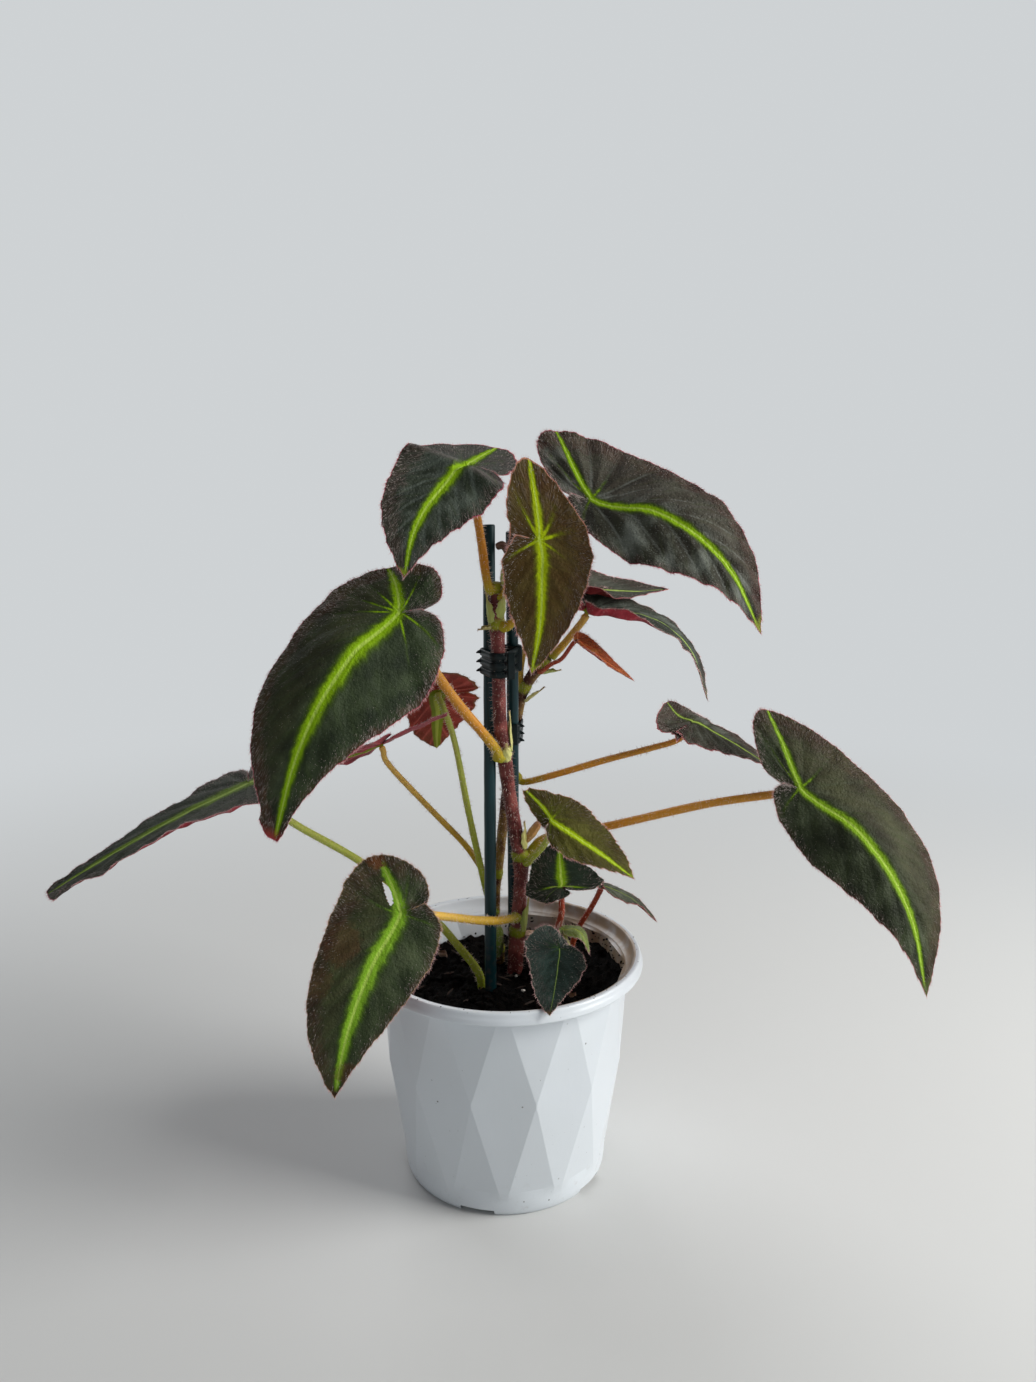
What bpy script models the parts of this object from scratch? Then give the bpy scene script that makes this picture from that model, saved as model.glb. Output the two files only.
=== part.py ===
"""Potted begonia: a faceted nursery pot, soil, two stakes with clips, stems, leaf stalks and blades.

Units are metres, with millimetre tables scaled by MM. +Z is up, the origin is the middle of the
pot's base, and the plant's front faces -Y.
"""
import math

import bmesh
import bpy
import numpy as np
from mathutils import Vector

MM = 0.001

# ---------------------------------------------------------------- driving dimensions (mm)
POT_HEIGHT = 109.0
RIM_RADIUS = 65.0            # outermost radius of the rolled rim
RIM_CREST_RADIUS = 62.6
RIM_BAND_HEIGHT = 5.6        # height of the band that overhangs the body
BODY_TOP_RADIUS = 58.2
BODY_BOTTOM_RADIUS = 48.0
FOOT_RADIUS = 47.0
WALL = 1.7
FACETS = 12
FACET_TOP = 101.6
FACET_BOTTOM = 12.5
FACET_MIDDLE = 59.5          # height of the diamonds' side corners
FOOT_HEIGHT = 4.0            # depth of the recess inside the foot ring
FOOT_BEVEL = 2.5             # height over which the foot widens to the body
FOOT_RING_WIDTH = 4.5
DRAFT = 0.8                  # slope of the recess's walls
FLOOR_THICKNESS = 2.0
HOLLOW_FLOOR_RADIUS = 43.4   # of the hollow where it meets its floor
PAD_RADIUS = 12.0            # central pad of the underside, level with the foot ring
DRAIN_HOLES = 5
DRAIN_RADIUS = 3.5
DRAIN_CIRCLE = 27.0
NOTCHES = 5                  # gaps in the foot ring that let water out
NOTCH_WIDTH = 16.0
NOTCH_HEIGHT = 3.0
FIRST_NOTCH = -105.0         # degrees round from +X
SOIL_LEVEL = 91.0
SOIL_SWELL = 2.0
SOIL_HEAP = 5.0              # rise of the soil against the wall on the right
SOIL_INSET = 4.5             # from the body's round corners to the soil's side, clear of the facets
SOIL_FOOT_RADIUS = 42.2      # of the soil where it rests on the floor
SOIL_FOOT_HEIGHT = 8.0       # height over which the soil narrows to its foot
SOIL_RADII = (40.0, 26.0, 12.0)
GAP = 0.35                   # clearance between touching pieces
STAKE_RADIUS = 2.7
STAKE_DEPTH = 34.0           # height of the stakes' lower ends above the base
BLADE_THICKNESS = 0.9
CLIP_CLEARANCE = 0.45
CLIP_WALL = 1.6
CLOSEST_ROWS = 3.5           # spacing of the rings along a stalk

# Sides of each round piece.
SOIL_SIDES = 30
STAKE_SIDES = 10
STEM_SIDES = 8
STALK_SIDES = 6
SPROUT_SIDES = 5
CLIP_SIDES = 36
DRAIN_SIDES = 12

# The rolled rim, from its lower edge over its crest: inwards from RIM_RADIUS, down from POT_HEIGHT.
RIM_PROFILE = [
    (0.5, RIM_BAND_HEIGHT), (0.0, 4.9), (0.9, 1.3), (RIM_RADIUS - RIM_CREST_RADIUS, 0.0),
    (RIM_RADIUS - RIM_CREST_RADIUS + 2.2, 0.6),
]

COLOURS = {
    "pot": ((0.80, 0.82, 0.84), 0.25),
    "soil": ((0.018, 0.015, 0.013), 0.95),
    "stake": ((0.004, 0.085, 0.080), 0.45),
    "clip": ((0.010, 0.014, 0.013), 0.35),
    "stem": ((0.110, 0.030, 0.028), 0.55),
    "stalk": ((0.42, 0.30, 0.035), 0.50),
    "stalk_red": ((0.42, 0.10, 0.05), 0.50),
    "blade": ((0.022, 0.026, 0.018), 0.55),
    "blade_red": ((0.25, 0.03, 0.03), 0.55),
    "stipule": ((0.40, 0.33, 0.07), 0.60),
    "twig": ((0.14, 0.09, 0.065), 0.80),
}

# ---------------------------------------------------------------- paths (mm): x, y, z, radius
STAKE_LEFT = [(-6.5, -9.5, STAKE_DEPTH), (-6.4, 2.0, 307.0)]
STAKE_RIGHT = [(4.4, 25.4, STAKE_DEPTH), (3.6, 2.6, 304.0)]

STEM_MAIN = [
    (4.5, 12.5, 84, 3.4), (5.2, 13.0, 98, 3.7), (6.0, 13.0, 111, 3.5), (7.6, 12.0, 136, 3.2),
    (7.6, 10.5, 150, 3.7), (5.6, 7.6, 162, 3.2), (2.2, 2.4, 185, 3.0), (0.1, -3.2, 204, 3.3),
    (-1.0, -6.2, 213, 3.0), (-1.8, -8.2, 224, 2.9), (-2.2, -8.8, 240, 2.9), (-2.4, -8.8, 254, 2.9),
    (-2.8, -8.6, 264, 3.3), (-3.2, -8.2, 274, 2.9), (-3.6, -8.6, 283, 2.7),
]
STEM_SECOND = [
    (-3.6, 24.0, 84, 3.0), (-3.8, 24.0, 98, 3.0), (-4.2, 24.0, 112, 1.8), (-4.0, 24.0, 128, 1.6),
    (-3.4, 23.6, 138, 2.2),
    (0.0, 21.8, 170, 2.4), (2.8, 20.2, 188, 2.8), (5.6, 18.4, 202, 2.3), (9.4, 17.0, 220, 2.3),
    (13.0, 16.0, 231, 2.4), (18.0, 14.6, 241, 2.8), (20.5, 13.6, 245.5, 2.2),
]
TWIG = [
    (-3.1, 0.6, 297.4, 1.5), (-0.4, -0.6, 298.2, 1.7), (2.0, -3.0, 295.4, 1.6), (3.2, -4.6, 290.5, 1.3),
]

# Each leaf is laid through eight named points of its blade (mm), and "stalk" lists the points
# that its stalk passes between its root and the blade. "root" is a point on a stem or in the soil.
# "sinus" is the side of the slit as seen on the top face with the tip pointing away.
LEAVES = {
    "top_left": dict(
        attach=(-15, -12, 332), middle=(-32, -30, 315), tip=(-40, -38, 289), inner=(-8, -28, 315),
        outer=(-47, -24, 328), shoulder=(-33, -2, 341), base=(-3, 8, 340), lobe=(6, -2, 332),
        sinus="left", stalk=[(-7.4, -13.4, 287), (-9.5, -14.0, 303), (-12.5, -14.5, 320)],
        root=("main", 281), radius=1.9),
    "top_right": dict(
        attach=(37, -14, 319), middle=(79, -34, 306), tip=(105, -44, 267), inner=(50, -37, 296),
        outer=(80, -12, 321), shoulder=(50, 8, 339), base=(23, 14, 347), lobe=(15, 4, 337),
        sinus="right", stalk=[(3.6, -12.5, 266), (14, -15, 279), (29, -18, 302)],
        root=("main", 264), radius=1.8),
    "centre": dict(
        attach=(15, -28, 303), middle=(16, -35, 277), tip=(12, -34, 248), inner=(1, -32, 283),
        outer=(35, -34, 287), shoulder=(33, -27, 310), base=(11, -16, 336), lobe=(1, -24, 318),
        sinus="right", stalk=[(1.2, -11.6, 281), (6, -12.5, 290), (13, -17, 300)],
        root=("main", 277), radius=1.5),
    "big_left": dict(
        attach=(-42, -40, 275), middle=(-72, -60, 242), tip=(-94, -58, 181), inner=(-33, -46, 239),
        outer=(-93, -42, 254), shoulder=(-69, -26, 283), base=(-48, -22, 291), lobe=(-26, -33, 290),
        sinus="left", stalk=[(-3.4, -9.6, 208.5), (-10, -14.0, 218.5), (-19, -19, 231), (-30, -25, 249),
                             (-37, -30, 263)],
        root=("main", 206), radius=2.3),
    "far_left": dict(
        attach=(-117, 0, 190), middle=(-162, -5, 168), tip=(-212, -8, 138), inner=(-148, 24, 178),
        outer=(-137, -32, 179), shoulder=(-104, -28, 191), base=(-97, 0, 195), lobe=(-115, 24, 193),
        sinus="right", stalk=[(-12.5, -1.5, 97), (-22, 1.5, 109), (-35, 4, 123), (-66, 5, 149),
                              (-95, 3, 168), (-110, 1, 180)],
        root=("soil", (-10.5, -2.5, 86)), radius=1.9),
    "low_left": dict(
        attach=(-43, -52, 149), middle=(-60, -70, 117), tip=(-70, -74, 76), inner=(-30, -60, 130),
        outer=(-78, -62, 133), shoulder=(-67, -42, 160), base=(-54, -36, 169), lobe=(-34, -43, 163),
        sinus="left", stalk=[(2.0, 2.0, 122.5), (-3.5, -10.0, 127), (-12, -18.5, 131), (-22, -28, 136.5),
                             (-33, -40, 143)],
        root=("main", 120), radius=2.0),
    "back_red": dict(
        attach=(-31, 25, 227), middle=(-33, 39, 209), tip=(-34, 50, 193), inner=(-15, 34, 218),
        outer=(-47, 38, 213), shoulder=(-42, 28, 231), base=(-26, 14, 239), lobe=(-12, 26, 230),
        sinus="right", stalk=[(-8.4, 17.6, 128), (-12, 15, 146), (-17, 15, 171), (-23, 16, 204),
                              (-28, 18, 220)],
        root=("second", 118), radius=1.6),
    "back_left": dict(
        attach=(-57, 7, 207), middle=(-82, 18, 197), tip=(-111, 36, 193), inner=(-71, -6, 207),
        outer=(-75, 32, 190), shoulder=(-51, 24, 205), base=(-27, 11, 219), lobe=(-34, -3, 221),
        sinus="left", stalk=[(-10.5, 21.5, 139), (-19, 19, 153), (-35, 13.5, 173), (-53, 7.5, 196)],
        root=("second", 134), radius=1.5),
    "small_upper": dict(
        attach=(26, 18, 281), middle=(50, 26, 275), tip=(76, 30, 275), inner=(43, 8, 274),
        outer=(50, 40, 280), shoulder=(33, 34, 285), base=(19, 28, 284), lobe=(20, 8, 279),
        sinus="right", stalk=[(7.6, 17.6, 229), (7.8, 17.6, 240), (12, 17.5, 258), (22, 18, 272)],
        root=("second", 222), radius=1.3),
    "drooping": dict(
        attach=(37, 8, 268), middle=(76, 14, 259), tip=(94, 14, 226), inner=(57, -7, 266),
        outer=(71, 30, 264), shoulder=(41, 26, 277), base=(29, 17, 276), lobe=(28, -4, 274),
        sinus="right", stalk=[(25.5, 11.8, 250.5), (31, 10, 257.5)],
        root=("tip", (21.4, 13.3, 246.6)), radius=1.8),
    "young_red": dict(
        attach=(33, 2, 256), middle=(42.5, -1, 249), tip=(57, -5, 239.5), inner=(37.5, -3, 251.2),
        outer=(42.5, 4, 253), shoulder=(37, 5, 257.5), base=(33, 3, 259.5), lobe=(30.5, -1.5, 256.8),
        sinus="right", stalk=[(21.2, 8.4, 243.5), (26, 4.5, 247.0)],
        root=("second", 241), radius=1.0),
    "mid_right": dict(
        attach=(87, 12, 216), middle=(104, 14, 207), tip=(127, 8, 193), inner=(91, -6, 208),
        outer=(100, 32, 210), shoulder=(88, 28, 217), base=(75, 14, 225), lobe=(69, -2, 216),
        sinus="right", stalk=[(9.4, 17.6, 185), (25, 14.5, 190), (47, 13.5, 197), (68, 12.5, 203),
                              (80, 12, 207)],
        root=("second", 188), radius=1.6),
    "big_right": dict(
        attach=(130, -20, 194), middle=(163, -46, 166), tip=(179, -58, 114), inner=(131, -38, 167),
        outer=(176, -20, 177), shoulder=(146, -6, 209), base=(119, 2, 224), lobe=(112, -6, 212),
        sinus="right", stalk=[(13.5, 10.0, 155), (21, 7.5, 161.5), (46, 1, 168.5), (89, -5, 181),
                              (117, -12, 188)],
        root=("main", 151), radius=2.0),
    "olive": dict(
        attach=(21, -20, 179), middle=(39, -27, 169), tip=(57, -30, 156), inner=(27, -30, 166),
        outer=(44, -16, 176), shoulder=(30, -12, 187), base=(9, -8, 190), lobe=(14, -17, 179),
        sinus="right", stalk=[(12.8, 4.4, 152), (17.5, -1.5, 159.5), (20.5, -9, 168)],
        root=("main", 149), radius=1.5),
    "low_dark": dict(
        attach=(26, -8, 143), middle=(26, 4, 148), tip=(26, 18, 155), inner=(45, -2, 143),
        outer=(12, 0, 145), shoulder=(11, -11, 140), base=(18, -18, 139), lobe=(25, -18, 141),
        sinus="right", stalk=[(24.4, 17.0, 98), (24.6, 9, 112), (26.5, -2, 127)],
        root=("soil", (24.3, 19.0, 86)), radius=1.6),
    "front": dict(
        attach=(25, -22, 119), middle=(22.8, -43, 114), tip=(19.6, -65, 109.4), inner=(35.6, -38, 118),
        outer=(11.9, -40, 117.5), shoulder=(10, -25, 124), base=(18, -15, 127), lobe=(26, -13, 122),
        sinus="left", stalk=[(18.5, 5.6, 97), (22, -3.5, 103), (24.5, -14, 109)],
        root=("soil", (16.5, 8.0, 86)), radius=1.4),
    "low_right": dict(
        attach=(46, 8, 137), middle=(59, 6, 132), tip=(71, 0, 123), inner=(56, -3, 132),
        outer=(59, 16, 130), shoulder=(48, 16, 135), base=(44, 9, 138), lobe=(43, 1, 138),
        sinus="right", stalk=[(32.0, 18.5, 98), (35.5, 15, 112), (41.5, 10.5, 125)],
        root=("soil", (31.2, 19.0, 86)), radius=1.4),
    "young_green": dict(
        attach=(29, 2, 117), middle=(34, -4, 119), tip=(38, -8, 111), inner=(30, -8, 118),
        outer=(35, 4, 118), shoulder=(30, 6, 119), base=(27, 4, 119), lobe=(27, -2, 118),
        sinus="right", stalk=[(30.8, 9.0, 97), (31.0, 6.5, 105)],
        root=("soil", (30.6, 10.0, 86)), radius=0.9),
}

RED_BLADES = ("back_red", "young_red")
RED_STALKS = ("low_dark", "low_right", "young_red")
SMALL_BLADE = 45.0           # blades shorter than this are meshed with fewer points

# Clips: height of the middle, height of the band.
CLIP_UPPER = (247.0, 12.0)
CLIP_LOWER = (211.0, 10.0)

# Papery stipules, buds and the young shoot: stem, height of the foot, tip (mm) and widest radius.
SPROUTS = {
    "stipule_top_left": ("main", 266, (-7.4, -11.0, 279), 0.9),
    "stipule_top_right": ("main", 268, (0.6, -14.0, 280), 0.9),
    "bud_top": ("main", 281, (0.2, -9.6, 291), 1.2),
    "stipule_curled": ("main", 263, (-11.0, -12.5, 263), 0.9),
    "stipule_middle_tall": ("main", 206, (2.6, -8.6, 226), 0.9),
    "stipule_middle_short": ("main", 203, (1.2, -11.6, 212), 1.0),
    "bud_middle": ("main", 209, (-7.0, -9.0, 216), 1.4),
    "stipule_lower": ("main", 156, (9.4, 2.0, 171), 0.9),
    "bud_lower": ("main", 159, (17.5, 3.0, 172), 1.6),
    "shoot_base": ("second", 96, (-2.8, 8.0, 118), 2.0),
    "stipule_base": ("main", 113, (11.6, 9.0, 131), 0.9),
    "stipule_branch": ("second", 225, (18.6, 13.0, 232), 0.8),
    "stipule_fork": ("second", 240, (26.0, 12.6, 240), 0.9),
}

# Flat places of the eight named points, with the rib from (0, 0) to (1, 0) and the sinus at +q.
FLAT = {
    "attach": (0.0, 0.0), "middle": (0.5, 0.0), "tip": (1.0, 0.0), "inner": (0.25, 0.238),
    "outer": (0.35, -0.345), "shoulder": (-0.08, -0.305), "base": (-0.285, -0.15),
    "lobe": (-0.20, 0.075),
}
# Flat outline of a blade from one lip of the slit, round the tip, to the other lip.
OUTLINE = [
    (-0.056, 0.118), (-0.030, 0.158), (0.035, 0.208), (0.14, 0.236), (0.27, 0.238), (0.42, 0.217),
    (0.60, 0.168), (0.77, 0.098), (0.91, 0.036), (1.0, 0.0), (0.92, -0.072), (0.80, -0.162),
    (0.65, -0.247), (0.48, -0.315), (0.30, -0.345), (0.12, -0.337), (-0.05, -0.310), (-0.18, -0.262),
    (-0.262, -0.195), (-0.295, -0.115), (-0.277, -0.028), (-0.228, 0.048), (-0.158, 0.100),
    (-0.070, 0.112),
]

# ---------------------------------------------------------------- curves and sheets


def smooth_path(points, per_span):
    """Points on a Catmull-Rom curve through rows of numbers."""
    rows = np.array(points, float)
    padded = np.vstack([2 * rows[0] - rows[1], rows, 2 * rows[-1] - rows[-2]])
    out = []
    for i in range(len(rows) - 1):
        p0, p1, p2, p3 = padded[i:i + 4]
        for step in range(per_span):
            t = step / per_span
            out.append(0.5 * (2 * p1 + (p2 - p0) * t + (2 * p0 - 5 * p1 + 4 * p2 - p3) * t * t
                              + (3 * p1 - p0 - 3 * p2 + p3) * t ** 3))
    out.append(rows[-1])
    return np.array(out)


def even_points(curve, count):
    """The same curve as count points at equal spacing."""
    steps = np.linalg.norm(np.diff(curve, axis=0), axis=1)
    along = np.concatenate([[0], np.cumsum(steps)])
    wanted = np.linspace(0, along[-1], count)
    return np.stack([np.interp(wanted, along, curve[:, k]) for k in range(curve.shape[1])], 1)


def bend_kernel(distance):
    safe = np.maximum(distance, 1e-9)
    return safe ** 2 * np.log(safe)


class Blade:
    """The smooth sheet through a leaf's eight named points."""

    def __init__(self, leaf):
        self.flat = np.array([FLAT[name] for name in FLAT])
        places = np.array([leaf[name] for name in FLAT], float)
        count = len(self.flat)
        spread = np.linalg.norm(self.flat[:, None] - self.flat[None], axis=2)
        sides = np.hstack([np.ones((count, 1)), self.flat])
        system = np.block([[bend_kernel(spread), sides], [sides.T, np.zeros((3, 3))]])
        self.weights = np.linalg.solve(system, np.vstack([places, np.zeros((3, 3))]))
        self.flip = -1.0 if leaf["sinus"] == "left" else 1.0

    def place(self, flat):
        flat = np.atleast_2d(flat)
        spread = np.linalg.norm(flat[:, None] - self.flat[None], axis=2)
        basis = np.hstack([bend_kernel(spread), np.ones((len(flat), 1)), flat])
        return basis @ self.weights

    def normal(self, flat):
        flat = np.atleast_2d(flat)
        step = 1e-3
        along = self.place(flat + (step, 0)) - self.place(flat - (step, 0))
        across = self.place(flat + (0, step)) - self.place(flat - (0, step))
        out = np.cross(across, along) * self.flip
        return out / np.linalg.norm(out, axis=1, keepdims=True)


def outline_points(count):
    """Flat points round a blade's edge, with the slit's lips first and last and the tip kept sharp."""
    tip = OUTLINE.index((1.0, 0.0))
    sinus_side = smooth_path(OUTLINE[:tip + 1], 8)
    other_side = smooth_path(OUTLINE[tip:], 8)
    half = int(round(count * 0.42))
    return np.vstack([even_points(sinus_side, half), even_points(other_side, count - half + 1)[1:]])


# ---------------------------------------------------------------- objects


def material(name):
    colour, roughness = COLOURS[name]
    shader = bpy.data.materials.get(name) or bpy.data.materials.new(name)
    shader.use_nodes = True
    node = shader.node_tree.nodes["Principled BSDF"]
    node.inputs["Base Color"].default_value = (*colour, 1.0)
    node.inputs["Roughness"].default_value = roughness
    node.inputs["Metallic"].default_value = 0.0
    return shader


def add_object(name, verts, faces, finish, smooth=True):
    """One object from millimetre vertices, with its faces turned outwards."""
    mesh = bpy.data.meshes.new(name)
    mesh.from_pydata([Vector(v) * MM for v in verts], [], faces)
    shell = bmesh.new()
    shell.from_mesh(mesh)
    bmesh.ops.recalc_face_normals(shell, faces=shell.faces)
    bmesh.ops.triangulate(shell, faces=[f for f in shell.faces if len(f.verts) > 3])
    shell.to_mesh(mesh)
    shell.free()
    if smooth:
        mesh.shade_smooth()
        mesh.set_sharp_from_angle(angle=math.radians(40))
    mesh.materials.append(material(finish))
    obj = bpy.data.objects.new(name, mesh)
    bpy.context.scene.collection.objects.link(obj)
    return obj


def tube_mesh(rows, sides):
    """Rings round a path of (x, y, z, radius) rows, closed at both ends."""
    centres = rows[:, :3]
    tangents = np.gradient(centres, axis=0)
    tangents /= np.linalg.norm(tangents, axis=1, keepdims=True)
    start = np.array([0.0, -1.0, 0.0]) if abs(tangents[0][1]) < 0.8 else np.array([1.0, 0.0, 0.0])
    side = np.cross(tangents[0], start)
    verts = []
    for centre, tangent, radius in zip(centres, tangents, rows[:, 3]):
        side = side - tangent * side.dot(tangent)
        side /= np.linalg.norm(side)
        up = np.cross(tangent, side)
        for k in range(sides):
            turn = 2 * math.pi * k / sides
            verts.append(centre + radius * (math.cos(turn) * side + math.sin(turn) * up))
    faces = []
    for ring in range(len(rows) - 1):
        for k in range(sides):
            a = ring * sides + k
            b = ring * sides + (k + 1) % sides
            faces.append((a, b, b + sides, a + sides))
    faces.append(tuple(reversed(range(sides))))
    faces.append(tuple(range((len(rows) - 1) * sides, len(rows) * sides)))
    return verts, faces


def add_tube(name, rows, sides, finish):
    verts, faces = tube_mesh(np.array(rows, float), sides)
    return add_object(name, verts, faces, finish)


def turned_mesh(rings):
    """A skin over rings of equal count; the last ring joins the first."""
    count = len(rings[0])
    verts = [p for ring in rings for p in ring]
    faces = []
    for r in range(len(rings)):
        lower = r * count
        upper = ((r + 1) % len(rings)) * count
        for k in range(count):
            n = (k + 1) % count
            faces.append((lower + k, lower + n, upper + n, upper + k))
    return verts, faces


def circle(radius, height, count):
    turn = 2 * math.pi / count
    return [(radius * math.cos(k * turn), radius * math.sin(k * turn), height) for k in range(count)]


# ---------------------------------------------------------------- pot and soil


def facet_ring(kind, inwards=0.0):
    """A ring of the harlequin zone. Columns run apex, edge, apex, edge round the pot."""
    top = body_radius(FACET_TOP) - inwards
    bottom = body_radius(FACET_BOTTOM) - inwards
    chord = math.cos(math.pi / FACETS)
    bulge = (body_radius(FACET_MIDDLE) - inwards) / chord
    radii = {
        "top": (top, top * chord),
        "middle": (bulge * chord, bulge),
        "bottom": (bottom, bottom * chord),
    }
    heights = {"top": FACET_TOP, "middle": FACET_MIDDLE, "bottom": FACET_BOTTOM}
    ring = []
    for k in range(2 * FACETS):
        radius = radii[kind][k % 2]
        turn = math.pi * k / FACETS - math.pi / 2
        ring.append((radius * math.cos(turn), radius * math.sin(turn), heights[kind]))
    return ring


def body_radius(height):
    share = height / (POT_HEIGHT - RIM_BAND_HEIGHT)
    return BODY_BOTTOM_RADIUS + (BODY_TOP_RADIUS - BODY_BOTTOM_RADIUS) * share


def fine_circle(radius, height):
    """A ring with two points for each column of the facets."""
    ring = []
    for k in range(4 * FACETS):
        turn = 2 * math.pi * k / (4 * FACETS) - math.pi / 2
        ring.append((radius * math.cos(turn), radius * math.sin(turn), height))
    return ring


def build_pot():
    band_foot = POT_HEIGHT - RIM_BAND_HEIGHT
    floor_top = FOOT_HEIGHT + FLOOR_THICKNESS
    rings = [
        fine_circle(FOOT_RADIUS, 0),
        fine_circle(BODY_BOTTOM_RADIUS, FOOT_BEVEL),
        fine_circle(body_radius(FACET_BOTTOM) - 0.2, FACET_BOTTOM - 1.5),
        facet_ring("bottom"),
        facet_ring("middle"),
        facet_ring("top"),
        fine_circle(BODY_TOP_RADIUS, band_foot),
    ]
    rings += [fine_circle(RIM_RADIUS - inwards, POT_HEIGHT - down) for inwards, down in RIM_PROFILE]
    rings += [
        fine_circle(BODY_TOP_RADIUS - WALL, band_foot),
        facet_ring("top", WALL),
        facet_ring("middle", WALL),
        facet_ring("bottom", WALL),
        fine_circle(HOLLOW_FLOOR_RADIUS, floor_top),
        fine_circle(PAD_RADIUS, floor_top),
    ]
    verts = []
    starts = []
    for ring in rings:
        starts.append(len(verts))
        verts.extend(ring)
    faces = []
    for lower, upper in zip(range(len(rings) - 1), range(1, len(rings))):
        faces.extend(stitch(rings, starts, lower, upper))
    count = len(rings[0])
    faces.append(tuple(starts[-1] + k for k in range(count)))
    underside = [
        fine_circle(FOOT_RADIUS - FOOT_RING_WIDTH, 0),
        fine_circle(FOOT_RADIUS - FOOT_RING_WIDTH - DRAFT, FOOT_HEIGHT),
        fine_circle(PAD_RADIUS + DRAFT, FOOT_HEIGHT),
        fine_circle(PAD_RADIUS, 0),
    ]
    previous = starts[0]
    for ring in underside:
        start = len(verts)
        verts.extend(ring)
        for k in range(count):
            n = (k + 1) % count
            faces.append((previous + k, previous + n, start + n, start + k))
        previous = start
    faces.append(tuple(previous + k for k in range(count)))
    pot = add_object("pot", verts, faces, "pot")
    for number in range(DRAIN_HOLES):
        turn = 2 * math.pi * (number + 0.5) / DRAIN_HOLES + math.pi / 2
        hole = circle(DRAIN_RADIUS, 0, DRAIN_SIDES)
        middle = (DRAIN_CIRCLE * math.cos(turn), DRAIN_CIRCLE * math.sin(turn))
        cut(pot, f"drain_cutter_{number}", prism(hole, middle, FOOT_HEIGHT - 2, floor_top + 2))
    for number in range(NOTCHES):
        turn = 2 * math.pi * number / NOTCHES + math.radians(FIRST_NOTCH)
        cut(pot, f"notch_cutter_{number}", notch(turn))
    return pot


def stitch(rings, starts, lower, upper):
    """Faces between two rings, where one may have twice the points of the other."""
    low, high = len(rings[lower]), len(rings[upper])
    a, b = starts[lower], starts[upper]
    faces = []
    if low == high == 2 * FACETS:
        for k in range(low):
            n = (k + 1) % low
            apex_first = k % 2 == 0
            middle_is_upper = rings[upper][0][2] == FACET_MIDDLE
            if apex_first == middle_is_upper:
                faces += [(a + k, a + n, b + n), (a + k, b + n, b + k)]
            else:
                faces += [(a + k, a + n, b + k), (a + n, b + n, b + k)]
    elif low == high:
        for k in range(low):
            n = (k + 1) % low
            faces.append((a + k, a + n, b + n, b + k))
    elif low > high:
        for k in range(high):
            n = (k + 1) % high
            faces.append((a + 2 * k, a + 2 * k + 1, b + k))
            faces.append((a + 2 * k + 1, b + n, b + k))
            faces.append((a + 2 * k + 1, a + (2 * k + 2) % low, b + n))
    else:
        for k in range(low):
            n = (k + 1) % low
            faces.append((a + k, b + 2 * k + 1, b + 2 * k))
            faces.append((a + k, a + n, b + 2 * k + 1))
            faces.append((a + n, b + (2 * k + 2) % high, b + 2 * k + 1))
    return faces


def prism(ring, middle, low, high):
    x, y = middle
    verts = [(px + x, py + y, low) for px, py, _ in ring] + [(px + x, py + y, high) for px, py, _ in ring]
    n = len(ring)
    faces = [(k, (k + 1) % n, n + (k + 1) % n, n + k) for k in range(n)]
    faces += [tuple(range(n)), tuple(range(n, 2 * n))]
    return verts, faces


def notch(turn):
    """A box across the foot ring, seen from its middle at the given turn."""
    inner, outer = FOOT_RADIUS - FOOT_RING_WIDTH - 3.0, FOOT_RADIUS + 3.0
    half = NOTCH_WIDTH / 2
    out = (math.cos(turn), math.sin(turn))
    side = (-out[1], out[0])
    corners = [(inner, -half), (outer, -half), (outer, half), (inner, half)]
    ring = [(out[0] * r + side[0] * s, out[1] * r + side[1] * s, 0) for r, s in corners]
    return prism(ring, (0, 0), -1.0, NOTCH_HEIGHT)


def cut(target, name, shape):
    cutter = add_object(name, shape[0], shape[1], "pot", smooth=False)
    cutter.hide_render = True
    cutter.display_type = "WIRE"
    step = target.modifiers.new(name, "BOOLEAN")
    step.operation = "DIFFERENCE"
    step.solver = "EXACT"
    step.object = cutter


def soil_height(radius, turn):
    """Uneven top of the soil, heaped a little against the wall on the right."""
    waves = 0.5 * math.sin(3 * turn + 0.6) + 0.35 * math.sin(7 * turn + 2.0) * radius / 50
    heap = max(0.0, math.cos(turn - 0.35)) ** 3 * max(0.0, radius - 38) / 14
    return SOIL_LEVEL + SOIL_SWELL * waves + SOIL_HEAP * heap


def build_soil(planted):
    count = SOIL_SIDES
    low = FOOT_HEIGHT + FLOOR_THICKNESS + GAP
    shoulder = low + SOIL_FOOT_HEIGHT
    wall = body_radius(SOIL_LEVEL) - SOIL_INSET
    rings = [
        circle(PAD_RADIUS, low, count),
        circle(SOIL_FOOT_RADIUS, low, count),
        circle(body_radius(shoulder) - SOIL_INSET, shoulder, count),
    ]
    for radius in (wall, *SOIL_RADII):
        rings.append([])
        for x, y, _ in circle(radius, 0, count):
            rings[-1].append((x, y, soil_height(radius, math.atan2(y, x))))
    verts = [p for ring in rings for p in ring]
    faces = []
    for r in range(len(rings) - 1):
        for k in range(count):
            n = (k + 1) % count
            faces.append((r * count + k, r * count + n, (r + 1) * count + n, (r + 1) * count + k))
    faces.append(tuple(range(count)))
    faces.append(tuple(range((len(rings) - 1) * count, len(rings) * count)))
    soil = add_object("potting_soil", verts, faces, "soil")
    for name, rows, sides in planted:
        socket = np.array(rows, float)
        socket[:, 3] += 1.4 * GAP
        run = socket[1][:3] - socket[0][:3]
        socket[0][:3] -= run / np.linalg.norm(run) * GAP
        cut(soil, f"{name}_socket", tube_mesh(socket, sides))
    return soil


# ---------------------------------------------------------------- plant


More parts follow.
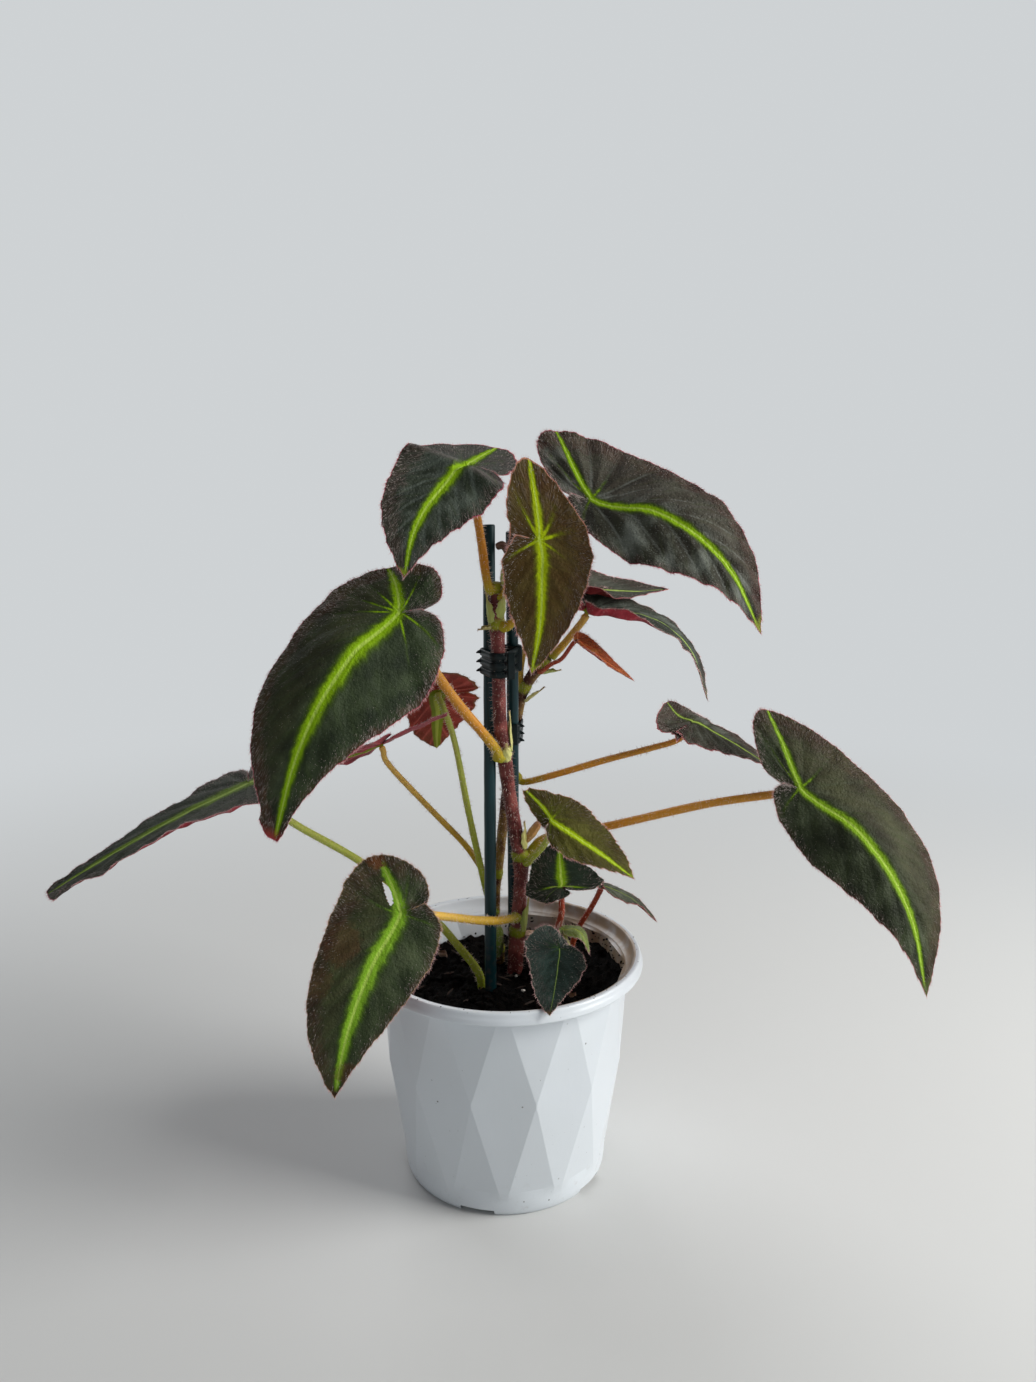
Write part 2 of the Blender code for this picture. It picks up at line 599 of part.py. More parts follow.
def stem_at(rows, height):
    return np.array([np.interp(height, rows[:, 2], rows[:, k]) for k in range(4)])


def stem_side(rows, height, towards, radius):
    """The point where something of this radius leaves a stem, square to the stem, and the way it goes."""
    centre = stem_at(rows, height)
    run = stem_at(rows, height + 2)[:3] - stem_at(rows, height - 2)[:3]
    run /= np.linalg.norm(run)
    away = np.array(towards, float) - centre[:3]
    away -= run * away.dot(run)
    away /= np.linalg.norm(away)
    return centre[:3] + away * (centre[3] + GAP + 0.15 * radius), away


def stalk_rows(name, leaf):
    """Path of a leaf's stalk, from its root to just under its blade."""
    blade = Blade(leaf)
    kind, where = leaf["root"]
    radius = leaf["radius"]
    first = np.array(leaf["stalk"][0], float)
    if kind in ("soil", "tip"):
        start = np.array(where, float)
        opening = [start]
    else:
        start, away = stem_side(STEMS[kind], where, first, radius)
        opening = [start, start + away * 1.2]
    origin = (0.0, 0.0)
    normal = blade.normal(origin)[0]
    attach = np.array(leaf["attach"], float)
    seat = attach - normal * (BLADE_THICKNESS / 2 + GAP + 0.2 * radius)
    approach = seat - normal * 3.0
    points = opening + [np.array(p, float) for p in leaf["stalk"]] + [approach, seat]
    curve = smooth_path(points, 2)
    rows = np.hstack([curve, np.full((len(curve), 1), radius)])
    taper = np.linspace(1.0, 0.86, len(rows))
    rows[:, 3] *= taper
    return thin_rows(rows)


def thin_rows(rows):
    """Drop rows that lie close to the one before, but keep both ends."""
    kept = [rows[0]]
    for row in rows[1:-1]:
        if np.linalg.norm(row[:3] - kept[-1][:3]) > (1.0 if len(kept) == 1 else CLOSEST_ROWS):
            kept.append(row)
    if np.linalg.norm(rows[-1][:3] - kept[-1][:3]) < 1.0 and len(kept) > 2:
        kept.pop()
    kept.append(rows[-1])
    return np.array(kept)


def sprout_rows(name):
    """A spindle from a stem's side to its tip."""
    kind, height, tip, radius = SPROUTS[name]
    start, away = stem_side(STEMS[kind], height, tip, radius)
    tip = np.array(tip, float)
    length = np.linalg.norm(tip - start)
    swell = (start + tip) / 2 + away * 0.6
    curve = smooth_path([start, start + away * min(1.2, 0.2 * length), swell, tip], 2)
    share = np.linspace(0, 1, len(curve))
    thickness = radius * (0.45 + 0.55 * np.sin(math.pi * np.minimum(share * 1.1, 1.0)))
    thickness[-1] = 0.25 * radius
    return np.hstack([curve, thickness[:, None]])


def build_blade(name, leaf):
    blade = Blade(leaf)
    small = np.linalg.norm(np.subtract(leaf["tip"], leaf["attach"])) < SMALL_BLADE
    edge = outline_points(14 if small else 20)
    rings = (0.5, 1.0) if small else (0.34, 0.68, 1.0)
    flat = [(0.0, 0.0)]
    for share in rings:
        flat.extend(edge * share)
    flat = np.array([tuple(p) for p in flat])
    normal = blade.normal(flat)
    middle = blade.place(flat)
    half = BLADE_THICKNESS / 2
    verts = np.vstack([middle + normal * half, middle - normal * half])
    count, total = len(edge), len(flat)
    faces = []
    for side in (0, total):
        for k in range(count - 1):
            faces.append((side, side + 1 + k, side + 2 + k))
        for r in range(len(rings) - 1):
            a, b = side + 1 + r * count, side + 1 + (r + 1) * count
            for k in range(count - 1):
                faces.append((a + k, b + k, b + k + 1, a + k + 1))
    outer = 1 + (len(rings) - 1) * count
    for k in range(count - 1):
        faces.append((outer + k, outer + k + 1, total + outer + k + 1, total + outer + k))
    for column in (0, count - 1):
        lip = [0] + [1 + r * count + column for r in range(len(rings))]
        for a, b in zip(lip[:-1], lip[1:]):
            faces.append((a, b, total + b, total + a))
    finish = "blade_red" if name in RED_BLADES else "blade"
    return add_object(f"leaf_{name}", verts, faces, finish)


# ---------------------------------------------------------------- stakes and clips


def build_clip(name, holds, height, tall):
    """A band round the things it holds, clear of them from its lower edge to its upper one."""
    low, high = height - tall / 2, height + tall / 2
    centres = [disc(rows, level) for rows in holds for level in (low, height, high)]
    inner = hull_outline(centres, CLIP_CLEARANCE, CLIP_SIDES)
    outer = hull_outline(centres, CLIP_CLEARANCE + CLIP_WALL, CLIP_SIDES)
    rings = [[(x, y, low) for x, y in outer], [(x, y, high) for x, y in outer],
             [(x, y, high) for x, y in inner], [(x, y, low) for x, y in inner]]
    verts, faces = turned_mesh(rings)
    return add_object(name, verts, faces, "clip")


def hull_outline(discs, grow, count):
    """Outline of the hull of some discs, each grown: the corners where its tangent lines meet."""
    points = []
    for k in range(count):
        turn = 2 * math.pi * k / count
        way = np.array([math.cos(turn), math.sin(turn)])
        reach = [np.dot(way, (x, y)) + r + grow for x, y, r in discs]
        points.append((turn, max(reach)))
    outline = []
    for k in range(count):
        turn, reach = points[k]
        after, further = points[(k + 1) % count]
        if k == count - 1:
            after += 2 * math.pi
        a = np.array([[math.cos(turn), math.sin(turn)], [math.cos(after), math.sin(after)]])
        outline.append(tuple(np.linalg.solve(a, np.array([reach, further]))))
    return outline


def stake_rows(ends):
    """A straight stake, pointed below and cut flat above."""
    start, finish = (np.array(p, float) for p in ends)
    rows = [np.append(start + (finish - start) * t, STAKE_RADIUS) for t in (0, 0.02, 0.5, 0.99, 1.0)]
    rows[0][3] = 1.2
    rows[-1][3] = STAKE_RADIUS - 0.5
    return np.array(rows)


def disc(rows, height):
    centre = stem_at(rows, height)
    return (centre[0], centre[1], centre[3])


STEMS = {"main": smooth_path(STEM_MAIN, 2), "second": smooth_path(STEM_SECOND, 2)}


def build():
    for obj in list(bpy.data.objects):
        bpy.data.objects.remove(obj)
    left, right = stake_rows(STAKE_LEFT), stake_rows(STAKE_RIGHT)
    main, second = STEMS["main"], STEMS["second"]
    upright = [
        ("stake_left", left, STAKE_SIDES, "stake"), ("stake_right", right, STAKE_SIDES, "stake"),
        ("stem_main", main, STEM_SIDES, "stem"), ("stem_second", second, STEM_SIDES, "stem"),
    ]
    planted = []
    for name, rows, sides, finish in upright:
        add_tube(name, rows, sides, finish)
        planted.append((name, rows[:8], sides))
    for name, leaf in LEAVES.items():
        build_blade(name, leaf)
        rows = stalk_rows(name, leaf)
        add_tube(f"stalk_{name}", rows, STALK_SIDES, "stalk_red" if name in RED_STALKS else "stalk")
        if leaf["root"][0] == "soil":
            planted.append((f"stalk_{name}", rows[:4], STALK_SIDES))
    add_tube("twig", smooth_path(TWIG, 2), STALK_SIDES, "twig")
    for name in SPROUTS:
        add_tube(name, sprout_rows(name), SPROUT_SIDES, "stipule")
    build_clip("clip_upper", (left, right, main), *CLIP_UPPER)
    build_clip("clip_lower", (right, second), *CLIP_LOWER)
    build_pot()
    build_soil(planted)


build()
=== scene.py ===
"""The looks of the potted begonia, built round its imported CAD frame.

Tables are in millimetres and meshes in metres. The plant's front faces -Y and +Z is up.
"""

import math

import bmesh
import bpy
import numpy as np
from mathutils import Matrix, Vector, noise


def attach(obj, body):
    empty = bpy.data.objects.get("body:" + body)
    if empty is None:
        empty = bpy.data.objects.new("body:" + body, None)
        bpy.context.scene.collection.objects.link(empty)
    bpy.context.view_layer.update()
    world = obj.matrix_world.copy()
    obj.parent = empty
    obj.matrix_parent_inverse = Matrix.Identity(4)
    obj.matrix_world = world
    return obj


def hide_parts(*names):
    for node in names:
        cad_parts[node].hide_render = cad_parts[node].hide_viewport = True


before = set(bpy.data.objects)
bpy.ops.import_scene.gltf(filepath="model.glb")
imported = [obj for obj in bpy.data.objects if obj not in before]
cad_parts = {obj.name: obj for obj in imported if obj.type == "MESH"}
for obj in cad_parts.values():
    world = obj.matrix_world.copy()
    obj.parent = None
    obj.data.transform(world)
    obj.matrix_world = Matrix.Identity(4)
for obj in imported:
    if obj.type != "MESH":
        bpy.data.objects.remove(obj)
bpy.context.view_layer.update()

MM = 0.001
TAU = 2 * math.pi
rng = np.random.default_rng(11)

# ---------------------------------------------------------------- camera, lights, floor (m)
FOCAL = 1160.0               # focal length in units of the frame's pixels
FRAME_SIDE = 1382.0          # long side of the frame, in the same units
SENSOR = 36.0
CAMERA_AT = (0.0063, -0.5065, 0.3488)
CAMERA_PITCH = 12.87         # degrees below the horizon
BACKGROUND = (0.62, 0.645, 0.66)
FLOOR_COLOUR = (0.64, 0.645, 0.635)
FLOOR_RADIUS = 6.0
FLOOR_FADE = (260.0, 900.0)  # distances (mm) over which the floor turns into the backdrop
WORLD_LIGHT = 0.135
SKY = (0.80, 0.85, 0.90)
# Where each lamp stands, what it points at, its size, its power and its colour.
LAMPS = {
    "key_right": ((1.12, -0.22, 0.72), (0, 0, 0.17), (0.8, 0.9), 22.0, (1.0, 0.99, 0.97)),
    "fill_front": ((-0.6, -1.2, 0.75), (0, 0, 0.17), (1.0, 0.9), 1.6, (0.95, 0.97, 1.0)),
    "rim_back": ((-0.5, 0.9, 0.9), (0, 0, 0.2), (0.9, 0.7), 6.0, (0.97, 0.98, 1.0)),
}

# ---------------------------------------------------------------- pot and soil (mm)
POT_HEIGHT = 109.0
BODY_TOP_RADIUS = 58.2
BODY_BOTTOM_RADIUS = 48.0
RIM_BAND_HEIGHT = 5.6
WALL = 1.7
FACETS = 12
FACET_TOP = 102.0
FACET_BOTTOM = 12.5
FACET_MIDDLE = 59.5          # height of the diamonds' side corners
BLUNT = math.radians(2.6)    # half width of a diamond's cut-off point
CRISP = 0.0035               # half width of a facet's edge, in radians
FOOT_RING_INNER = 42.1
FOOT_HEIGHT = 4.0
FLOOR_TOP = 6.0
PAD_RADIUS = 12.0
DRAIN_HOLES = 5
DRAIN_RADIUS = 3.5
DRAIN_CIRCLE = 27.0
NOTCHES = 5
NOTCH_SIZE = (16.0, 12.0, 3.0)
FIRST_NOTCH = -105.0         # degrees
SOIL_LEVEL = 91.0
SOIL_WALL = 0.35             # gap that the soil keeps to the pot's wall
CRUMBS = 620                 # scattered on the soil, of which those by the wall are left out
PERLITE_GRAINS = 7
BARK_STICKS = 34
WALL_CRUMBS = 300            # clinging to the pot's inner wall
RIM_CRUMBS = 60
# Curled dead leaves on the soil: middle, heading, size and curl.
DEAD_LEAVES = [
    ((16.0, 38.5, 97.0), 0.35, 9.0, 1.5), ((-31.0, 22.0, 93.8), 2.1, 6.0, 2.2),
    ((30.0, -20.0, 94.6), -0.7, 4.5, 2.0),
]

# ---------------------------------------------------------------- stakes, clips and stems (mm)
STAKE_RADIUS = 2.7
STAKES = {
    "stake_left": [(-6.5, -9.5, 34.0), (-6.4, 2.0, 307.0)],
    "stake_right": [(4.4, 25.4, 34.0), (3.6, 2.6, 304.0)],
}
CLIP_UPPER = (247.0, 12.0, 4.1)  # middle height, height and spacing of the bands
CLIP_LOWER = (211.0, 10.0, 3.4)
# Paths: x, y, z, radius.
STEM_MAIN = [
    (4.5, 12.5, 84, 3.4), (5.2, 13.0, 98, 3.7), (6.0, 13.0, 111, 3.5), (7.6, 12.0, 136, 3.2),
    (7.6, 10.5, 150, 3.7), (5.6, 7.6, 162, 3.2), (2.2, 2.4, 185, 3.0), (0.1, -3.2, 204, 3.3),
    (-1.0, -6.2, 213, 3.0), (-1.8, -8.2, 224, 2.9), (-2.2, -8.8, 240, 2.9), (-2.4, -8.8, 254, 2.9),
    (-2.8, -8.6, 264, 3.3), (-3.2, -8.2, 274, 2.9), (-3.6, -8.6, 283, 2.7),
]
STEM_SECOND = [
    (-3.6, 24.0, 84, 3.0), (-3.8, 24.0, 98, 3.0), (-4.2, 24.0, 112, 1.8), (-4.0, 24.0, 128, 1.6),
    (-3.4, 23.6, 138, 2.2), (0.0, 21.8, 170, 2.4), (2.6, 20.4, 188, 2.8), (4.3, 19.2, 202, 2.2),
    (6.6, 18.2, 220, 2.2), (9.6, 17.2, 231, 2.4), (15.8, 15.2, 241, 2.8), (20.1, 13.8, 245.7, 2.2),
]
TWIG = [(-3.1, 0.6, 297.4, 1.5), (-0.4, -0.6, 298.2, 1.7), (2.0, -3.0, 295.4, 1.6), (3.2, -4.6, 290.5, 1.3)]
NODES_MAIN = (112, 152, 207, 265, 281)       # heights of the swollen green nodes
NODES_SECOND = (98, 137, 190, 231, 243)

# ---------------------------------------------------------------- leaves (mm)
# Flat places of a blade's eight points, with the rib from (0, 0) to (1, 0) and the sinus at +q.
FLAT = {
    "attach": (0.0, 0.0), "middle": (0.5, 0.0), "tip": (1.0, 0.0), "inner": (0.25, 0.238),
    "outer": (0.35, -0.345), "shoulder": (-0.08, -0.305), "base": (-0.285, -0.15),
    "lobe": (-0.20, 0.075),
}
# Flat outline of a blade from the slit's lower lip, round the tip, to its upper lip; the lips are
# added to its ends.
OUTLINE = [
    (-0.030, 0.150), (0.035, 0.205), (0.14, 0.236), (0.27, 0.238), (0.42, 0.217),
    (0.60, 0.168), (0.77, 0.098), (0.91, 0.036), (1.0, 0.0), (0.92, -0.072), (0.80, -0.162),
    (0.65, -0.247), (0.48, -0.315), (0.30, -0.345), (0.12, -0.337), (-0.05, -0.310), (-0.18, -0.262),
    (-0.262, -0.195), (-0.295, -0.115), (-0.277, -0.028), (-0.228, 0.048), (-0.165, 0.098),
    (-0.098, 0.120),
]
# Lateral veins on the flat blade: start, bend and end.
VEINS = [
    ((0, 0), (0.00, -0.12), (-0.06, -0.30)), ((0, 0), (0.06, -0.14), (0.13, -0.335)),
    ((0, 0), (0.14, -0.15), (0.38, -0.335)), ((0.13, 0), (0.30, -0.13), (0.57, -0.28)),
    ((0.30, 0), (0.46, -0.10), (0.71, -0.215)), ((0.47, 0), (0.62, -0.07), (0.83, -0.14)),
    ((0.64, 0), (0.78, -0.04), (0.93, -0.065)), ((0, 0), (0.02, 0.10), (0.06, 0.215)),
    ((0, 0), (0.12, 0.10), (0.27, 0.238)), ((0.12, 0), (0.26, 0.09), (0.46, 0.207)),
    ((0.28, 0), (0.43, 0.07), (0.63, 0.157)), ((0.45, 0), (0.59, 0.045), (0.78, 0.095)),
    ((0.62, 0), (0.75, 0.02), (0.91, 0.036)), ((0, 0), (-0.10, -0.06), (-0.285, -0.15)),
    ((0, 0), (-0.08, -0.14), (-0.20, -0.25)), ((0, 0), (-0.12, 0.01), (-0.26, 0.0)),
    ((0, 0), (-0.07, 0.045), (-0.19, 0.08)),
]
EDGE_VEINS = 13              # the first of them end at the edge ahead of the slit
VEIN_STEPS = 28
LOWER_LIP = 121              # turn of the slit's lower lip from the rib, in degrees
BACK_WAY = (-0.885, -0.466)  # the way of the vein over the basal lobe

# A leaf's shape, apart from its points and its stalk:
# sinus: the side of the slit as seen on the top face with the tip pointing away
# slit: reach of the slit's end from where the stalk joins; lap: turn of its upper lip, in degrees
# curl: where a rolled edge starts and ends along the rib, its side (1 is the sinus) and height (mm)
# crease: height (mm) of the fold ahead of the stalk; blunt: how much a cut-off tip is widened
# full: how much the blade is widened before the tip
# torn: the middle, half length and half width of a tear, on the flat blade, along BACK_WAY
USUAL_SHAPE = dict(sinus="right", slit=0.10, lap=113, curl=None, crease=0.0, blunt=0.0, full=0.0, torn=None)


def leaf_plan(points, stalk, root, radius, **shape):
    """A leaf from its blade's eight points in FLAT's order and the points that its stalk passes.

    The stalk's root is a height on a stem, or a point in the soil or at the second stem's tip.
    """
    return dict(USUAL_SHAPE, **dict(zip(FLAT, points)), stalk=stalk, root=root, radius=radius, **shape)


LEAVES = {
    "top_left": leaf_plan(
        [(-15, -12, 332), (-32, -30, 315), (-40, -38, 289), (-8, -28, 315),
         (-47, -24, 328), (-33, -2, 341), (-3, 8, 340), (6, -2, 332)],
        [(-7.4, -13.4, 287), (-9.5, -14.0, 303), (-12.5, -14.5, 320)],
        ("main", 281), 1.9, sinus="left", crease=4.2),
    "top_right": leaf_plan(
        [(37, -14, 319), (79, -34, 306), (105, -44, 267), (50, -37, 296),
         (84, -12, 323), (50, 8, 339), (23, 14, 347), (15, 4, 337)],
        [(3.6, -12.5, 266), (14, -15, 279), (29, -18, 302)],
        ("main", 264), 1.8, slit=0.085),
    "centre": leaf_plan(
        [(15, -28, 303), (16, -35, 277), (12, -34, 248), (1, -32, 283),
         (35, -34, 287), (33, -27, 310), (11, -16, 336), (1, -24, 318)],
        [(1.2, -11.6, 281), (6, -12.5, 290), (13, -17, 300)],
        ("main", 277), 1.5, slit=0.12, lap=92),
    "big_left": leaf_plan(
        [(-42, -40, 275), (-72, -60, 242), (-94, -58, 181), (-33, -46, 239),
         (-93, -42, 254), (-69, -26, 283), (-48, -22, 291), (-26, -33, 290)],
        [(-3.4, -9.6, 208.5), (-10, -14.0, 218.5), (-19, -19, 231), (-30, -25, 249), (-37, -30, 263)],
        ("main", 206), 2.3, sinus="left", slit=0.075, blunt=0.7),
    "far_left": leaf_plan(
        [(-117, 0, 190), (-162, -5, 168), (-212, -8, 138), (-148, 24, 178),
         (-137, -32, 179), (-104, -28, 191), (-97, 0, 195), (-115, 24, 193)],
        [(-12.5, -1.5, 97), (-22, 1.5, 109), (-35, 4, 123), (-66, 5, 149), (-95, 3, 168), (-110, 1, 180)],
        ("soil", (-10.5, -2.5, 86)), 1.9, curl=(-0.1, 0.7, -1, 1.3), blunt=2.5, full=0.5),
    "low_left": leaf_plan(
        [(-43, -52, 149), (-60, -70, 117), (-70, -74, 76), (-30, -60, 130),
         (-78, -62, 133), (-67, -42, 160), (-54, -36, 169), (-34, -43, 163)],
        [(2.0, 2.0, 122.5), (-3.5, -10.0, 127), (-12, -18.5, 131), (-22, -28, 136.5), (-33, -40, 143)],
        ("main", 120), 2.0, sinus="left", slit=0.12, torn=((-0.082, -0.080), 0.075, 0.020)),
    "back_red": leaf_plan(
        [(-31, 25, 227), (-33, 39, 209), (-34, 50, 193), (-15, 34, 218),
         (-47, 38, 213), (-42, 28, 231), (-26, 14, 239), (-12, 26, 230)],
        [(-8.4, 17.6, 128), (-12, 15, 146), (-17, 15, 171), (-23, 16, 204), (-28, 18, 220)],
        ("second", 118), 1.6),
    "back_left": leaf_plan(
        [(-57, 7, 207), (-82, 18, 197), (-111, 36, 193), (-71, -6, 207),
         (-75, 32, 190), (-51, 24, 205), (-27, 11, 219), (-34, -3, 221)],
        [(-10.5, 21.5, 139), (-19, 19, 153), (-35, 13.5, 173), (-53, 7.5, 196)],
        ("second", 134), 1.5, sinus="left"),
    "small_upper": leaf_plan(
        [(26, 18, 281), (50, 26, 275), (76, 30, 275), (43, 8, 274),
         (50, 40, 280), (33, 34, 285), (19, 28, 284), (20, 8, 279)],
        [(7.6, 17.6, 229), (7.8, 17.6, 240), (12, 17.5, 258), (22, 18, 272)],
        ("second", 222), 1.3, curl=(-0.3, 0.45, 1, 4.5)),
    "drooping": leaf_plan(
        [(37, 8, 268), (76, 14, 259), (94, 14, 226), (57, -7, 266),
         (71, 30, 264), (41, 26, 277), (29, 17, 276), (28, -4, 274)],
        [(25.5, 11.8, 250.5), (31, 10, 257.5)],
        ("tip", (21.4, 13.3, 246.6)), 1.8, curl=(-0.3, 0.42, 1, 4.0)),
    "young_red": leaf_plan(
        [(33, 2, 256), (42.5, -1, 249), (57, -5, 239.5), (37.5, -3, 251.2),
         (42.5, 4, 253), (37, 5, 257.5), (33, 3, 259.5), (30.5, -1.5, 256.8)],
        [(21.2, 8.4, 243.5), (26, 4.5, 247.0)],
        ("second", 241), 1.0, curl=(-0.3, 0.7, 1, 1.2)),
    "mid_right": leaf_plan(
        [(87, 12, 216), (104, 14, 207), (127, 8, 193), (91, -6, 208),
         (100, 32, 210), (88, 28, 217), (75, 14, 225), (69, -2, 216)],
        [(9.4, 17.6, 185), (25, 14.5, 190), (47, 13.5, 197), (68, 12.5, 203), (80, 12, 207)],
        ("second", 188), 1.6, slit=0.14, lap=95),
    "big_right": leaf_plan(
        [(130, -20, 194), (163, -46, 166), (179, -58, 114), (131, -38, 167),
         (179, -20, 179), (147, -6, 210), (119, 2, 224), (112, -6, 212)],
        [(13.5, 10.0, 155), (21, 7.5, 161.5), (46, 1, 168.5), (89, -5, 181), (117, -12, 188)],
        ("main", 151), 2.0, slit=0.07),
    "olive": leaf_plan(
        [(21, -20, 179), (39, -27, 169), (57, -30, 156), (27, -30, 166),
         (44, -16, 176), (30, -12, 187), (9, -8, 190), (14, -17, 179)],
        [(12.8, 4.4, 152), (17.5, -1.5, 159.5), (20.5, -9, 168)],
        ("main", 149), 1.5),
    "low_dark": leaf_plan(
        [(26, -8, 143), (26, 4, 148), (26, 18, 155), (45, -2, 143),
         (12, 0, 145), (11, -11, 140), (18, -18, 139), (25, -18, 141)],
        [(24.4, 17.0, 98), (24.6, 9, 112), (26.5, -2, 127)],
        ("soil", (24.3, 19.0, 86)), 1.6),
    "front": leaf_plan(
        [(25, -22, 119), (22.8, -43, 114), (19.6, -65, 109.4), (35.6, -38, 118),
         (11.9, -40, 117.5), (10, -25, 124), (18, -15, 127), (26, -13, 122)],
        [(18.5, 5.6, 97), (22, -3.5, 103), (24.5, -14, 109)],
        ("soil", (16.5, 8.0, 86)), 1.4, sinus="left"),
    "low_right": leaf_plan(
        [(46, 8, 137), (59, 6, 132), (71, 0, 123), (56, -3, 132),
         (59, 16, 130), (48, 16, 135), (44, 9, 138), (43, 1, 138)],
        [(32.0, 18.5, 98), (35.5, 15, 112), (41.5, 10.5, 125)],
        ("soil", (31.2, 19.0, 86)), 1.4, curl=(-0.3, 0.9, 1, 1.5)),
    "young_green": leaf_plan(
        [(28, 2, 117), (35, -4, 119), (39, -8, 111), (32, -7, 118),
         (36, 3, 118), (30, 5, 118), (26, 4, 118), (26, -2, 118)],
        [(30.8, 9.0, 97), (31.0, 6.5, 105)],
        ("soil", (30.6, 10.0, 86)), 0.9),
}

# Papery stipules, buds and the young shoot: stem, height of the foot, tip (mm), widest radius and skin.
SPROUTS = {
    "stipule_top_left": ("main", 266, (-7.4, -11.0, 279), 0.9, "green"),
    "stipule_top_right": ("main", 268, (0.6, -14.0, 280), 0.9, "green"),
    "stipule_curled": ("main", 263, (-11.0, -12.5, 263), 0.9, "tan"),
    "stipule_middle_tall": ("main", 206, (2.6, -8.6, 226), 0.9, "yellow"),
    "stipule_middle_short": ("main", 203, (1.2, -11.6, 212), 1.0, "yellow"),
    "stipule_lower": ("main", 156, (9.4, 2.0, 171), 0.9, "yellow"),
    "stipule_base": ("main", 113, (11.6, 9.0, 131), 0.9, "green"),
    "stipule_branch": ("second", 225, (18.6, 13.0, 232), 0.8, "tan"),
    "stipule_fork": ("second", 240, (26.0, 12.6, 240), 0.9, "green"),
    "bud_top": ("main", 281, (0.2, -9.6, 291), 1.2, "green"),
    "bud_middle": ("main", 209, (-7.0, -9.0, 216), 1.4, "orange"),
    "bud_lower": ("main", 159, (17.5, 3.0, 172), 1.6, "orange"),
    "shoot_base": ("second", 96, (-2.8, 8.0, 118), 2.0, "shoot"),
}

# ---------------------------------------------------------------- colours and finishes of the leaves
CHARCOAL = (0.012, 0.016, 0.012)
# SLATE: the usual haze, partly the leaf's grey tone and partly painted sheen
SLATE = (0.060, 0.072, 0.066)
BROWN = (0.064, 0.023, 0.021)
SCORCH = (0.120, 0.050, 0.020)
STROKE = (0.180, 0.140, 0.132)
LIME = (0.205, 0.360, 0.004)
PINK = (0.46, 0.085, 0.125)
RUST = (0.30, 0.040, 0.035)
# The undersides are brighter than their own red: painted light shining through the blade.
UNDERSIDE = (0.36, 0.034, 0.050)
UNDERSIDE_YOUNG = (0.40, 0.055, 0.036)
# A stalk's colours from its root to the blade.
GREEN_STALK = ((0.26, 0.32, 0.015), (0.40, 0.46, 0.05), (0.44, 0.50, 0.10))
AMBER_STALK = ((0.30, 0.29, 0.010), (0.52, 0.22, 0.020), (0.56, 0.26, 0.035))
GOLD_STALK = ((0.24, 0.27, 0.010), (0.56, 0.34, 0.030), (0.66, 0.42, 0.09))
RED_STALK = ((0.42, 0.12, 0.06), (0.40, 0.07, 0.03), (0.36, 0.06, 0.03))

# A leaf's finish:
# dark, haze, outer: the field, the slate haze over it, partly the leaf's grey tone and partly painted sheen,
# and, if given, the half away from the sinus
# rear: if given, a painted sheen on the part behind the fold, with a painted highlight along the fold's
# ridge; brown: share of brown at the margin
# strokes, veins: shares of the short strokes by the margin and of the paler side veins
# lime, band, back, glow: the lime band, its width (1 is about a twentieth of the rib's length), the
# width of its part over the basal lobe against that, and the share of olive glow beside it
# star, spikes: how far the lime runs out along the numbered veins near the stalk
# scorch: brown spots, each by its flat place, size and share
# tip, tip_from, edge: colour of the tip, the place where it starts and the colour of the edge line
# under, under_rib: colour of the underside, brightened as painted light shining through the blade, and width
# of its green rib
# ruffle, puff, teeth, hair: the edge's waves (mm), the swelling between veins (mm), depth of the
# teeth and number of hairs; stalk: the stalk's colours; slot: the name of the blade's group
USUAL_LOOK = dict(
    dark=CHARCOAL, haze=SLATE, outer=None, rear=None, brown=0.4, strokes=0.25, veins=0.25,
    lime=LIME, back=1.0, glow=0.25, star=0.4, spikes=(0, 2, 7, 14, 15), scorch=(), tip_from=0.93,
    edge=PINK, under=UNDERSIDE, under_rib=1.0, ruffle=0.6, puff=0.5, teeth=1.0, stalk=AMBER_STALK,
    slot="blade_dark")
